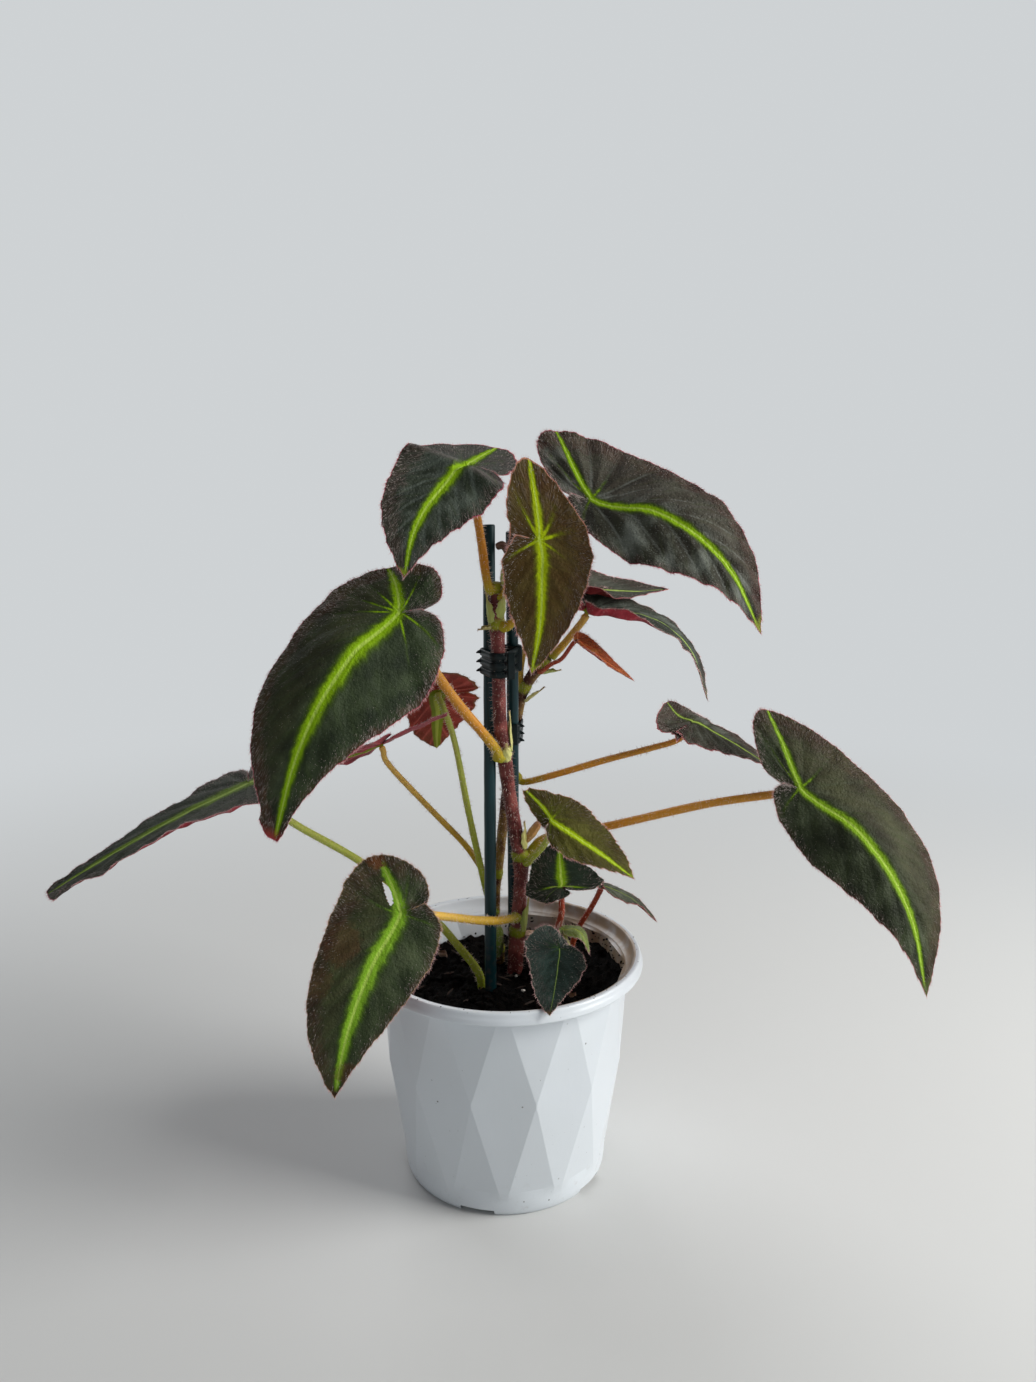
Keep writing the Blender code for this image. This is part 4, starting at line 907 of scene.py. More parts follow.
def stem_finish(name, skin, flush, node_colour):
    """A stem's skin, pinker in patches, with green swollen nodes where a leaf stands."""
    f = Finish(name, Specular_IOR_Level=0.2)
    colour = f.mix(f.rise(f.noise(9.0, detail=3.0), 0.40, 0.66), skin, flush)
    streak = f.streaks(1.1, 4.0, 1.0, 1.0, 0.16)
    colour = f.grain(0.6, colour, streak, 0.15, 0.85)
    soft = f.calc("ADD", f.value("knot"), f.scaled(f.noise(2.2), 0.5, -0.25))
    colour = f.mix(f.rise(soft, 0.45, 0.85), colour, node_colour)
    colour = f.speckled(colour, 1.5, (0.42, 0.30, 0.22), 0.45)
    f.bump(streak, 0.35)
    f.bump(f.cells(1.5), 0.2, 0.6)
    return f.done(colour, f.scaled(streak, 0.25, 0.35))


def papery_finish(name, colour, tip):
    """Thin dry skin: pale, veined along, browning to the tip."""
    f = Finish(name, Sheen_Weight=0.2, Sheen_Roughness=0.5)
    along = f.scaled(f.noise(2.0), 0.3, f.less(f.value("along"), 0.15))
    streak = f.streaks(0.5, 3.0, 1.0, 1.0, 0.15)
    shade = f.grain(0.5, f.ramp(along, (0.0, colour), (0.6, colour), (1.0, tip)), streak, 0.25, 0.8)
    f.bump(streak, 0.15)
    return f.done(shade, f.scaled(streak, 0.2, 0.5))


def bark_finish():
    f = Finish("twig_bark", roughness=0.8)
    streak = f.streaks(0.8, 4.0, 0.25, 1.0, 1.0)
    f.bump(streak, 0.5)
    f.bump(f.cells(0.9), 0.25)
    return f.done(f.ramp(streak, (0.3, (0.045, 0.028, 0.020)), (0.7, (0.26, 0.18, 0.13))))


def pot_finish():
    """White plastic with splashed soil low down, scattered specks, and on its hollow's right stains with
    painted shade.
    """
    f = Finish("pot_white_plastic", Coat_Weight=0.12, Coat_Roughness=0.10, Specular_IOR_Level=0.35,
               Subsurface_Weight=0.08, Subsurface_Radius=(1.0, 0.95, 0.9), Subsurface_Scale=0.003)
    height = f.axis(2)
    colour = f.mix(f.rise(f.noise(40.0), 0.35, 0.65), (0.70, 0.745, 0.785), (0.685, 0.73, 0.765))
    veil = f.times(f.rise(f.noise(5.0, detail=5.0, roughness=0.65), 0.54, 0.80), f.rise(height, 26.0, 1.0))
    colour = f.cover(colour, (0.34, 0.31, 0.27), veil, 0.30)
    for size, share, low in ((7.0, 0.85, 0.075), (4.3, 0.7, 0.05)):
        speck = f.rise(f.cells(size), low, low * 0.55)
        colour = f.cover(colour, (0.035, 0.028, 0.022), speck, f.rise(f.noise(19.0), 0.50, 0.60), share)
    outwards = f.vector("MULTIPLY", f.place, (1.0, 1.0, 0.0))
    facing = f.vector("DOT_PRODUCT", f.node("NewGeometry", {}, "True Normal"), outwards)
    # Beige on the hollow's right inner wall, turned from the key lamp: partly stains, partly painted shade.
    hollow = f.times(f.rise(facing, 0.0, -10.0), f.rise(height, 86.0, 92.0))
    stained_shaded_right = f.rise(f.axis(0), -15.0, 30.0)
    patches = f.rise(f.noise(9.0, detail=4.0), 0.15, 0.60)
    colour = f.cover(colour, (0.44, 0.33, 0.22), hollow, stained_shaded_right, patches, 0.95)
    f.bump(f.streaks(2.2, 4.0, 1.0, 1.0, 0.3), 0.03)
    return f.done(colour, f.scaled(f.noise(9.0, detail=3.0), 0.14, f.scaled(veil, 0.3, 0.24)))


def soil_finish():
    """Nearly black mix with pale fibres and grit."""
    f = Finish("potting_mix", Specular_IOR_Level=0.06)
    fine = f.noise(0.8, detail=5.0, roughness=0.7)
    patch = f.rise(f.noise(5.0, detail=3.0), 0.40, 0.64)
    colour = f.mix(patch, (0.0016, 0.0015, 0.0014), (0.0060, 0.0050, 0.0043))
    colour = f.grain(0.6, colour, fine, 0.1, (0.8, 0.76, 0.72))
    fibre = f.calc("ABSOLUTE", f.less(f.noise(2.6, detail=4.0, distortion=2.5), 0.5))
    colour = f.cover(colour, (0.04, 0.026, 0.018), f.rise(fibre, 0.012, 0.002), 0.4)
    colour = f.cover(colour, (0.06, 0.045, 0.035), f.rise(f.cells(3.1), 0.11, 0.06), 0.4)
    f.bump(fine, 0.9)
    f.bump(f.noise(2.4, detail=4.0, roughness=0.7), 1.4)
    return f.done(colour, f.scaled(fine, 0.3, 0.62))


def crumb_finish(name, roughness, size, detail, depth, dark, pale, bump_size=None):
    """A grainy crumb; its relief follows its colour unless it has a size of its own."""
    f = Finish(name, roughness=roughness)
    grain = f.noise(size, detail=detail)
    f.bump(f.noise(bump_size, detail=3.0) if bump_size else grain, depth)
    return f.done(f.mix(grain, dark, pale))


def dead_leaf_finish():
    f = Finish("dead_leaf", Sheen_Weight=0.2)
    streak = f.noise(1.4, detail=4.0)
    f.bump(streak, 0.4)
    return f.done(f.ramp(streak, (0.3, (0.10, 0.050, 0.026)), (0.7, (0.36, 0.22, 0.13))), 0.7)


def stake_finish():
    """Teal plastic with dust near the soil."""
    f = Finish("stake_plastic_skin", Specular_IOR_Level=0.30)
    streak = f.streaks(1.2, 3.0, 1.0, 1.0, 0.04)
    colour = f.mix(streak, (0.0006, 0.014, 0.018), (0.0015, 0.036, 0.042))
    dust = f.times(f.rise(f.axis(2), 130.0, 92.0), f.rise(f.noise(3.0, detail=5.0), 0.45, 0.75))
    colour = f.cover(colour, (0.060, 0.045, 0.035), dust, 0.7)
    f.bump(streak, 0.08)
    f.bump(f.noise(6.0), 0.12)
    return f.done(colour, f.scaled(streak, 0.25, 0.24))


def clip_finish():
    f = Finish("clip_plastic_skin", Specular_IOR_Level=0.2)
    fine = f.noise(2.0, detail=4.0)
    f.bump(f.noise(0.6), 0.06)
    return f.done(f.mix(fine, (0.0020, 0.0055, 0.0060), (0.006, 0.014, 0.015)), f.scaled(fine, 0.25, 0.22))


# ---------------------------------------------------------------- leaves
RIM_STEP = 0.8               # spacing of the points round a blade's edge
TOOTH = 3.4                  # length of an edge tooth
TOOTH_DEPTH = 0.75
HALF_THICK = 0.26            # of a blade at the rib, thinning to HALF_RIM at its edge
HALF_RIM = 0.10
RIB_DEPTH = 0.75             # how far the rib and the veins stand out of the underside
VEIN_DEPTH = 0.32
EDGE_LENGTH = 2.6            # roughly, of a blade's edge against its rib
SINUS_SHARE = 0.42           # share of the edge's points on the side of the sinus
LOBES = (0.9, 2.6)           # height and half width of the bulge where a vein meets the edge
HUB_RIM = 30.0               # distance to the edge that is noted where the stalk joins
FRINGE = 3                   # rounds of hairs on the edge
HAIR = 0.085                 # half width of a hair at its root


def flat_edge(leaf, teeth, size):
    """Flat points round a blade's toothed edge, from one lip of the slit to the other."""
    count = int(EDGE_LENGTH * size / RIM_STEP)
    lips = [on_circle(leaf["slit"], math.radians(turn), 0)[:2] for turn in (LOWER_LIP, leaf["lap"])]
    if leaf["lap"] < 100:
        lips[1] = tuple(1.5 * c for c in lips[1])
    tip = OUTLINE.index((1.0, 0.0))
    sinus_side = smooth_path([lips[0]] + OUTLINE[:tip + 1], 8)
    other_side = smooth_path(OUTLINE[tip:] + [lips[1]], 8)
    half = int(round(count * SINUS_SHARE))
    edge = np.vstack([even_points(sinus_side, half), even_points(other_side, count - half + 1)[1:]])
    along = lengths_along(edge) * size
    wander = waves(np.stack([along, along * 0, along * 0], 1), 7.0, size, 2)
    phase = (along / TOOTH + 0.5 * wander) % 1.0
    depth = teeth * TOOTH_DEPTH * (0.65 + 0.5 * wander) * np.abs(2 * phase - 1) ** 0.8
    ends = np.minimum(along, along[-1] - along)
    depth *= ease(0, 4, ends) * ease(0.0, 3.0, np.abs(along - along[half - 1]))
    lobes = np.zeros(len(edge))
    for _, _, end in VEINS[:EDGE_VEINS]:
        lobes += LOBES[0] * dome(np.linalg.norm(edge - end, axis=1) * size, LOBES[1])
    reach = np.maximum(np.linalg.norm(edge, axis=1), 0.1)
    edge = edge * (1 + (lobes - depth) / size / reach)[:, None]
    edge[:, 1] *= 1 + leaf["full"] * ease(0.50, 0.85, edge[:, 0])
    if leaf["blunt"]:
        edge[:, 1] *= 1 + leaf["blunt"] * ease(0.90, 0.98, edge[:, 0])
        edge[:, 0] = np.minimum(edge[:, 0], 0.98 + 0.1 * edge[:, 1])
    return edge


def vein_points():
    """Flat points along every side vein, and how far along its vein each lies."""
    t = np.linspace(0, 1, VEIN_STEPS)[:, None]
    points = [np.array(start) * (1 - t) ** 2 + 2 * np.array(bend) * t * (1 - t) + np.array(end) * t * t
              for start, bend, end in VEINS]
    return np.vstack(points), np.tile(t[:, 0], len(VEINS))


def lip_distances(flat, edge, rings):
    """Flat distance of each point from the lip of the slit on its own half of the blade."""
    lower = np.tile(np.arange(len(edge)) < len(edge) / 2, rings)
    gaps = []
    for way in (unit(edge[0]), unit(edge[-1])):
        gaps.append(np.where(flat @ way > 0, np.abs(flat @ np.array([-way[1], way[0]])), 1.0))
    return np.where(np.concatenate([[True], lower]), *gaps)


def relief(look, seed, place, share, away, side):
    """The lift of ruffles, of the puffed parts between veins and of fine puckers."""
    place = np.hstack([place, np.zeros((len(place), 1))])
    outwards = ease(0.05, 0.3, share)
    ripple = waves(place, 13.0, seed, 2) * 1.6 * ease(0.45, 1.0, share) * ease(1, 12, side)
    puffed = look["puff"] * (ease(0, 5, np.minimum(away, side)) - 0.5) * outwards
    return puffed + look["ruffle"] * ripple + 0.22 * waves(place, 4.0, seed + 3, 2) * outwards


class Blade:
    """A leaf's blade: rings of points from where the stalk joins to the toothed edge, on two faces."""

    def __init__(self, leaf, look, seed):
        sheet = Sheet(leaf)
        size = sheet.length
        edge = flat_edge(leaf, look["teeth"], size)
        self.count = len(edge)
        self.rings = int(9 + 0.20 * size)
        self.shares = 1 - (1 - np.linspace(0, 1, self.rings + 1)[1:]) ** 1.25
        flat = np.vstack([[(0.0, 0.0)]] + [edge * share for share in self.shares])
        share = np.concatenate([[0.0], np.repeat(self.shares, self.count)])
        reach = np.linalg.norm(edge, axis=1) * size
        rim = np.concatenate([[HUB_RIM]] + [reach * (1 - s) for s in self.shares])
        lips = lip_distances(flat, edge, self.rings) * size
        self.rim = np.minimum(rim, lips + 3 * ease(0.5, 0.1, share))
        away, which = nearest(flat, VEIN_POINTS)
        away = away * size
        near_vein = dome(away, 1.3) * (1 - 0.6 * VEIN_SHARES[which])
        side = np.abs(flat[:, 1]) * size
        rib = (flat[:, 0] > -0.01) * dome(side, 1.6) * (1 - 0.7 * flat[:, 0])
        self.normal = sheet.normal(flat)
        lift = relief(look, seed, flat * size, share, away, side) - 0.35 * rib
        lift += self.shape_lift(leaf, flat, share)
        middle = sheet.place(flat) + self.normal * lift[:, None]
        half = HALF_THICK + (HALF_RIM - HALF_THICK) * share ** 2
        self.top = middle + self.normal * (half - 0.05 * near_vein)[:, None]
        self.under = middle - self.normal * (half + RIB_DEPTH * rib + VEIN_DEPTH * near_vein)[:, None]
        star = np.isin(which // VEIN_STEPS, look["spikes"]) * look["star"] * dome(away, 0.75)
        star *= ease(0.30, -0.05, np.linalg.norm(flat, axis=1))
        around = np.concatenate([[0.0], np.tile(lengths_along(edge) * size, self.rings)])
        self.values = {"flat": np.hstack([flat, away[:, None]]),
                       "edge": np.stack([self.rim, around, star], 1)}
        self.torn = np.zeros(len(flat), bool)
        if leaf["torn"]:
            centre, long, wide = leaf["torn"]
            off = flat - np.array(centre)
            across = off @ np.array([BACK_WAY[1], -BACK_WAY[0]])
            self.torn = (off @ BACK_WAY / long) ** 2 + (across / wide) ** 2 < 1

    def shape_lift(self, leaf, flat, share):
        """The lift of the slit's overlapping lips, of a rolled edge and of a fold."""
        turned = np.linspace(0, 1, self.count)
        lip = 0.4 * ease(0.07, 0.0, turned) - 0.9 * ease(0.90, 1.0, turned)
        lift = np.concatenate([[0.0], np.tile(lip, self.rings)]) * ease(0.0, 0.6, share)
        if leaf["curl"]:
            first, last, way, height = leaf["curl"]
            stretch = ease(first, first + 0.15, flat[:, 0]) * ease(last, last - 0.25, flat[:, 0])
            lift += height * stretch * (way * flat[:, 1] > 0) * ease(6.0, 0.3, self.rim)
        return lift + leaf["crease"] * dome(flat[:, 0] - 0.06, 0.07) * ease(0.0, 0.14, share)

    def add_faces(self, build):
        """Both faces and the thin wall round them, with a wall round any tear."""
        count, total = self.count, len(self.top)
        fan = [(0, 1 + k, 2 + k) for k in range(count - 1)]
        faces = [f for f in fan + grid_faces(self.rings, count, start=1) if not self.torn[list(f)].all()]
        build.add(self.top, faces, 0, **self.values)
        build.add(self.under, [f[::-1] for f in faces], 1, **self.values)
        # An edge that only one face has is an open one.
        seen = {}
        for face in faces:
            for a, b in zip(face, face[1:] + face[:1]):
                key = (min(a, b), max(a, b))
                seen[key] = None if key in seen else (a, b)
        build.more_faces([(a, total + a, total + b, b) for a, b in filter(None, seen.values())], 1)

    def add_hairs(self, build, density):
        """Bristles over the blade, longest and most by the margin, and a fringe round it."""
        top, under, normal, count, rings = self.top, self.under, self.normal, self.count, self.rings
        spans = np.sort(np.ptp(top, axis=0))
        number = int(0.5 * density * np.prod(spans[1:]))
        ring = np.interp(np.sqrt(rng.uniform(0.01, 0.97, number)), self.shares, np.arange(rings) - 0.001)
        column = rng.uniform(0, count - 1.001, number)
        r, c = np.minimum(ring.astype(int), rings - 2), column.astype(int)
        u, v = (ring - r)[:, None], (column - c)[:, None]
        corner = 1 + r * count + c

        def at(rows):
            rows = rows.reshape(len(rows), -1)
            near, far = (rows[k] * (1 - v) + rows[k + 1] * v for k in (corner, corner + count))
            return near * (1 - u) + far * u

        margin = np.exp(-at(self.rim) / 6.0)
        kept = (rng.uniform(size=number) < 0.10 + 0.90 * margin[:, 0]) & ~self.torn[corner]
        out = unit(top[corner + count] - top[corner])
        ways = at(normal) * (0.9 - 0.5 * margin) + out * (0.25 + 0.9 * margin)
        ways = (ways + rng.normal(0, 0.16, (number, 3)))[kept]
        margin = margin[kept]
        lengths = (0.6 + 1.3 * margin[:, 0]) * rng.uniform(0.6, 1.2, kept.sum())
        build.add_bristles(at(top)[kept], ways, lengths, HAIR * (0.6 + 0.5 * margin), 2)
        some = np.flatnonzero(kept)[::3]
        ways = -at(normal)[some] + rng.normal(0, 0.3, (len(some), 3))
        build.add_bristles(at(under)[some], ways, rng.uniform(0.4, 0.9, len(some)), HAIR * 0.85, 2)
        outer = 1 + (rings - 1) * count + np.arange(count)
        for _ in range(FRINGE):
            jitter = rng.uniform(-0.5, 0.5, (count, 1))
            step = np.gradient(top[outer], axis=0)
            out = unit(top[outer] - top[outer - count])
            ways = out + rng.normal(0, 0.28, (count, 3)) + 0.2 * normal[outer]
            roots = (top[outer] + under[outer]) / 2 + step * jitter
            build.add_bristles(roots, ways, rng.uniform(0.7, 1.9, count), HAIR * 0.9, 3)


def make_blade(name, leaf, look, seed):
    blade = Blade(leaf, look, seed)
    build = Build()
    blade.add_faces(build)
    blade.add_hairs(build, look["hair"])
    skins = [blade_top(name, look), blade_under(name, look), HAIRS["pale"], HAIRS["rim"]]
    build.piece(f"begonia_blade_{name}", skins, look["slot"], f"leaf_{name}")


# ---------------------------------------------------------------- stalks, stems and sprouts


def stem_at(rows, height):
    return columns_at(height, rows[:, 2], rows)


def stem_side(rows, height, towards):
    """The point where something leaves a stem's side, square to the stem, and the way it goes."""
    centre = stem_at(rows, height)
    run = unit(stem_at(rows, height + 2)[:3] - stem_at(rows, height - 2)[:3])
    away = np.array(towards, float) - centre[:3]
    away = unit(away - run * away.dot(run))
    return centre[:3] + away * (centre[3] - 0.6), away


def fine_rows(points, radii, step=1.1):
    """Even rows (x, y, z, radius) along a smooth curve through the points."""
    curve = smooth_path(points, 10)
    count = max(8, int(lengths_along(curve)[-1] / step))
    share = np.linspace(0, 1, count)
    radii = np.interp(share, np.linspace(0, 1, len(radii)), radii)
    return np.hstack([even_points(curve, count), radii[:, None]])


def make_stalk(name, leaf, look):
    """A stalk that swells where it leaves its stem and where it meets its blade."""
    (kind, where), radius = leaf["root"], leaf["radius"]
    if kind in STEMS:
        start, away = stem_side(STEMS[kind], where, leaf["stalk"][0])
        opening = [start, start + away * 1.8]
    else:
        opening = [where]
    normal = Sheet(leaf).normal(np.zeros((1, 2)))[0]
    closing = [leaf["attach"] - normal * depth for depth in (3.8, 1.2)]
    rows = fine_rows(np.array(opening + leaf["stalk"] + closing, float), [1.0, 0.97, 0.94, 0.90, 0.86])
    foot = lengths_along(rows[:, :3])
    head = foot[-1] - foot
    rows[:, 3] *= radius * (1 + 0.45 * dome(foot, 2.6) + 0.28 * dome(head, 2.2))
    rows[:, 3] *= 1 - 0.6 * dome(head, 0.7)
    rows[:, 3] *= 1 + 0.06 * waves(rows[:, :3], 11.0, radius * 9, 2)
    build = Build()
    build.add_tube(rows, 18, ridge=0.035)
    build.add_tube_hairs(rows, int(foot[-1] * 3.4 * radius), 1.5 if radius > 1.3 else 1.0, HAIR * 1.1)
    skins = [stalk_finish(f"stalk_{name}", look["stalk"]), HAIRS["stalk"]]
    slot = "stalk_red" if look["stalk"] is RED_STALK else "stalk"
    build.piece(f"begonia_stalk_{name}", skins, slot, f"stalk_{name}")


def make_stem(which, points, nodes, colours, hairs):
    """A stem with a swelling and a ring at each node."""
    curve = smooth_path(points, 10)
    rows = even_points(curve, int(lengths_along(curve[:, :3])[-1] / 0.9))
    off = rows[:, 2:3] - np.array(nodes)
    knot = dome(off, 3.6).max(1)
    rows[:, 3] *= 1 + 0.16 * dome(off, 2.4).max(1) + 0.05 * waves(rows[:, :3], 8.0, 4, 2)
    rows[:, 3] *= 1 - 0.07 * dome(off - 2.2, 0.7).sum(1)
    build = Build()
    build.add_tube(rows, 26, ridge=0.03, ridges=4, knot=np.repeat(knot, 26))
    count = int(hairs * lengths_along(rows[:, :3])[-1])
    build.add_tube_hairs(rows, count, 2.1, HAIR * 1.1, lean=0.5)
    skins = [stem_finish(f"stem_skin_{which}", *colours), HAIRS["stem"]]
    build.piece(f"begonia_stem_{which}", skins, "stem", f"stem_{which}")


def sprout_line(kind, height, tip, count):
    """A sprout's middle line as even points, and the way it leaves its stem."""
    start, away = stem_side(STEMS[kind], height, tip)
    tip = np.array(tip, float)
    length = np.linalg.norm(tip - start)
    swell = (start + tip) / 2 + away * 0.8
    curve = smooth_path([start, start + away * min(1.4, 0.2 * length), swell, tip], 8)
    return even_points(curve, count), away


def make_stipule(name, kind, height, tip, radius, skin):
    """A papery sheet cupped round its stem, drawn out to a point."""
    long, wide, thick = 26, 13, 0.11
    curve, away = sprout_line(kind, height, tip, long)
    tangent = unit(np.gradient(curve, axis=0))
    side = unit(np.cross(tangent, away))
    out = unit(np.cross(side, tangent))
    share = np.linspace(0, 1, long)
    width = radius * 2.3 * (0.25 + np.sin(math.pi * np.minimum(share * 1.15 + 0.1, 1.0)) ** 0.8)
    width *= 1 + 0.12 * np.sin(share * 23)
    columns = np.linspace(-1, 1, wide)
    bend = columns * 1.15
    across = np.sin(bend) * width[:, None]
    cup = (np.cos(bend) - 1) * width[:, None] * 0.9 + 0.14 * np.sin(columns * 9 + share[:, None] * 14)
    sheet = curve[:, None] + across[..., None] * side[:, None] + cup[..., None] * out[:, None]
    front, back = ((sheet + out[:, None] * lift).reshape(-1, 3) for lift in (thick, -thick))
    along = np.repeat(share, wide)
    build = Build()
    build.add(front, grid_faces(long, wide), 0, along=along)
    build.add(back, grid_faces(long, wide, flip=True), 0, along=along)
    total, last = long * wide, (long - 1) * wide
    ring = list(range(wide)) + [r * wide + wide - 1 for r in range(1, long)]
    ring += [last + k for k in range(wide - 2, -1, -1)] + [r * wide for r in range(long - 2, 0, -1)]
    build.more_faces([(b, a, total + a, total + b) for a, b in zip(ring, ring[1:] + ring[:1])])
    picked = rng.choice(np.array(ring), 40)
    ways = unit(front[picked] - curve[picked // wide]) + rng.normal(0, 0.4, (40, 3))
    build.add_bristles(front[picked], ways, rng.uniform(0.5, 1.3, 40), HAIR * 0.8, 1)
    build.piece(f"begonia_{name}", [skin, HAIRS["stalk"]], "stipule", name)


def make_bud(name, kind, height, tip, radius, skin):
    """A pointed bud, or the young shoot, wrapped in overlapping scales."""
    curve, _ = sprout_line(kind, height, tip, 40)
    share = np.linspace(0, 1, 40)
    swell = 0.45 + 0.75 * np.sin(math.pi * np.minimum(share * 1.02 + 0.02, 1.0)) ** 0.9
    scales = 1 + 0.10 * np.abs(np.sin(share * math.pi * 3.5))
    rows = np.hstack([curve, (radius * swell * scales * (1 - 0.85 * ease(0.8, 1.0, share)))[:, None]])
    build = Build()
    build.add_tube(rows, 18, ridge=0.07, ridges=6)
    hairs, slot = (420, "young_shoot") if name == "shoot_base" else (90, "stipule")
    build.add_tube_hairs(rows, hairs, 1.3, HAIR * 0.8)
    build.piece(f"begonia_{name}", [skin, HAIRS["stalk"]], slot, name)


def make_sprouts():
    names = {"shoot": "young_shoot_skin"}
    skins = {key: papery_finish(names.get(key, f"stipule_{key}"), *pair) for key, pair in SKINS.items()}
    for name, (*place, skin) in SPROUTS.items():
        make = make_stipule if name.startswith("stipule") else make_bud
        make(name, *place, skins[skin])


def make_twig():
    path = np.array(TWIG)
    rows = fine_rows(path[:, :3], path[:, 3], 0.35)
    rows[:, 3] *= 1 + 0.16 * waves(rows[:, :3], 1.6, 8, 3)
    rows[0, 3] *= 0.6
    rows[-1, 3] *= 0.35
    build = Build()
    build.add_tube(rows, 20, ridge=0.07, ridges=7)
    build.piece("begonia_twig", [bark_finish()], "twig", "twig")


# ---------------------------------------------------------------- pot


def body_radius(height):
    share = height / (POT_HEIGHT - RIM_BAND_HEIGHT)
    return BODY_BOTTOM_RADIUS + (BODY_TOP_RADIUS - BODY_BOTTOM_RADIUS) * share


def triangle_radius(height, inwards):
    """How far out the side corners between two diamonds lie at a height."""
    half = math.pi / FACETS
    widest = (body_radius(FACET_MIDDLE) - inwards) / math.cos(half)
    last = FACET_TOP if height > FACET_MIDDLE else FACET_BOTTOM
    end = (body_radius(last) - inwards) * math.cos(half - BLUNT) / math.cos(BLUNT)
    return widest + (end - widest) * (height - FACET_MIDDLE) / (last - FACET_MIDDLE)


def facet_row(height, inwards):
    """One row of the harlequin wall: flat diamonds, with flat triangles above and below them."""
    half = math.pi / FACETS
    diamond = body_radius(height) - inwards
    triangle = triangle_radius(height, inwards)
    border = math.atan((triangle / diamond - math.cos(half)) / math.sin(half))
    border = min(max(border, BLUNT), half - 2.2 * CRISP)
    outer = [(turn, triangle / math.cos(half - turn)) for turn in np.linspace(half, border + CRISP, 5)]
    inner = [(turn, diamond / math.cos(turn)) for turn in np.linspace(border - CRISP, CRISP - border, 11)]
    facet = outer + inner + [(-turn, radius) for turn, radius in outer[:0:-1]]
    centres = [-math.pi / 2 + number * TAU / FACETS for number in range(FACETS)]
    return [on_circle(radius, centre - turn, height) for centre in centres for turn, radius in facet]


def arc(centre, radii, first, last, steps):
    """(radius, height) pairs along a quarter or half round."""
    turns = np.radians(np.linspace(first, last, steps))
    return [(centre[0] + radii[0] * math.cos(t), centre[1] + radii[1] * math.sin(t)) for t in turns]


def pot_rows():
    """Rings of points from the middle of the underside, up over the rim and down to the floor."""
    heights = np.linspace(FACET_BOTTOM, FACET_TOP, 41)
    turns = [math.atan2(y, x) for x, y, _ in facet_row(FACET_TOP, 0.0)]
    band_foot = POT_HEIGHT - RIM_BAND_HEIGHT
    foot = [(0.01, 0.0), (PAD_RADIUS - 0.4, 0.0), (PAD_RADIUS, 0.4), (PAD_RADIUS + 0.8, FOOT_HEIGHT),
            (FOOT_RING_INNER - 0.8, FOOT_HEIGHT), (FOOT_RING_INNER - 0.1, 0.5), (FOOT_RING_INNER + 0.4, 0.0),
            (46.4, 0.0), (47.0, 0.5), (47.6, 1.6), (48.0, 2.8), (48.3, 5.5), (48.4, 7.5), (48.4, 8.6)]
    rim = [(58.2, 102.4), (58.5, 102.9), (59.1, 103.2), (61.0, band_foot), (63.6, band_foot)]
    rim += arc((64.2, 104.2), (0.75, 0.75), -70, 10, 5)
    rim += [(64.8 - 0.8 * share ** 1.5, 105.0 + 1.9 * share) for share in np.linspace(0, 1, 5)]
    rim += arc((62.7, 106.9), (1.2, 2.1), 20, 90, 6) + arc((61.6, 107.9), (1.3, 1.1), 90, 180, 6)
    rim += [(60.0, 106.6), (59.6, 105.2), (59.0, 104.3), (57.9, 103.6), (57.0, 103.2), (56.6, 102.6)]
    floor = [(46.4, 11.6), (45.0, 9.4), (43.4, 7.2), (42.4, 6.3), (41.4, FLOOR_TOP), (PAD_RADIUS, FLOOR_TOP),
             (0.01, FLOOR_TOP)]
    foot, rim, floor = ([[on_circle(r, turn, z) for turn in turns] for r, z in part]
                        for part in (foot, rim, floor))
    outside = [facet_row(z, 0.0) for z in heights]
    inside = [facet_row(z, WALL) for z in heights[::-2]]
    return np.array(foot + outside + rim + inside + floor)


def prism(ring, low, high):
    n = len(ring)
    verts = [(x, y, z) for z in (low, high) for x, y in ring]
    return verts, grid_faces(2, n, closed=True) + end_caps(2, n)


def cut_openings(pot):
    """Drain holes through the floor and notches through the foot ring, cut and applied."""
    shapes = []
    for number in range(DRAIN_HOLES):
        turn = TAU * (number + 0.5) / DRAIN_HOLES + math.pi / 2
        middle = np.array(on_circle(DRAIN_CIRCLE, turn, 0)[:2])
        ring = [middle + on_circle(DRAIN_RADIUS, TAU * k / 32, 0)[:2] for k in range(32)]
        shapes.append(prism(ring, FOOT_HEIGHT - 2, FLOOR_TOP + 2))
    width, depth, tall = NOTCH_SIZE
    near, far = FOOT_RING_INNER - 3, FOOT_RING_INNER - 3 + depth
    for number in range(NOTCHES):
        turn = TAU * number / NOTCHES + math.radians(FIRST_NOTCH)
        out = np.array([math.cos(turn), math.sin(turn)])
        side = np.array([-out[1], out[0]]) * width / 2
        shapes.append(prism([out * near - side, out * far - side, out * far + side, out * near + side],
                            -1.0, tall))
    cutters = [link_new(f"cutter_{k}", new_mesh(f"cutter_{k}", *shape)) for k, shape in enumerate(shapes)]
    for cutter in cutters:
        step = pot.modifiers.new(cutter.name, "BOOLEAN")
        step.operation = "DIFFERENCE"
        step.solver = "EXACT"
        step.object = cutter
    cut = bpy.data.meshes.new_from_object(pot.evaluated_get(bpy.context.evaluated_depsgraph_get()))
    pot.modifiers.clear()
    pot.data = cut
    for cutter in cutters:
        bpy.data.objects.remove(cutter)


def soften_round_parts(mesh):
    """Facet edges stay crisp, and the turned rim and foot stay smooth below 32 degrees."""
    solid = bmesh.new()
    solid.from_mesh(mesh)
    low, high = (FACET_BOTTOM - 0.6) * MM, (FACET_TOP + 0.3) * MM
    for edge in solid.edges:
        heights = [v.co.z for v in edge.verts]
        if not edge.smooth and (min(heights) < low or max(heights) > high):
            edge.smooth = len(edge.link_faces) == 2 and edge.calc_face_angle(0) < math.radians(32)
    solid.to_mesh(mesh)
    solid.free()


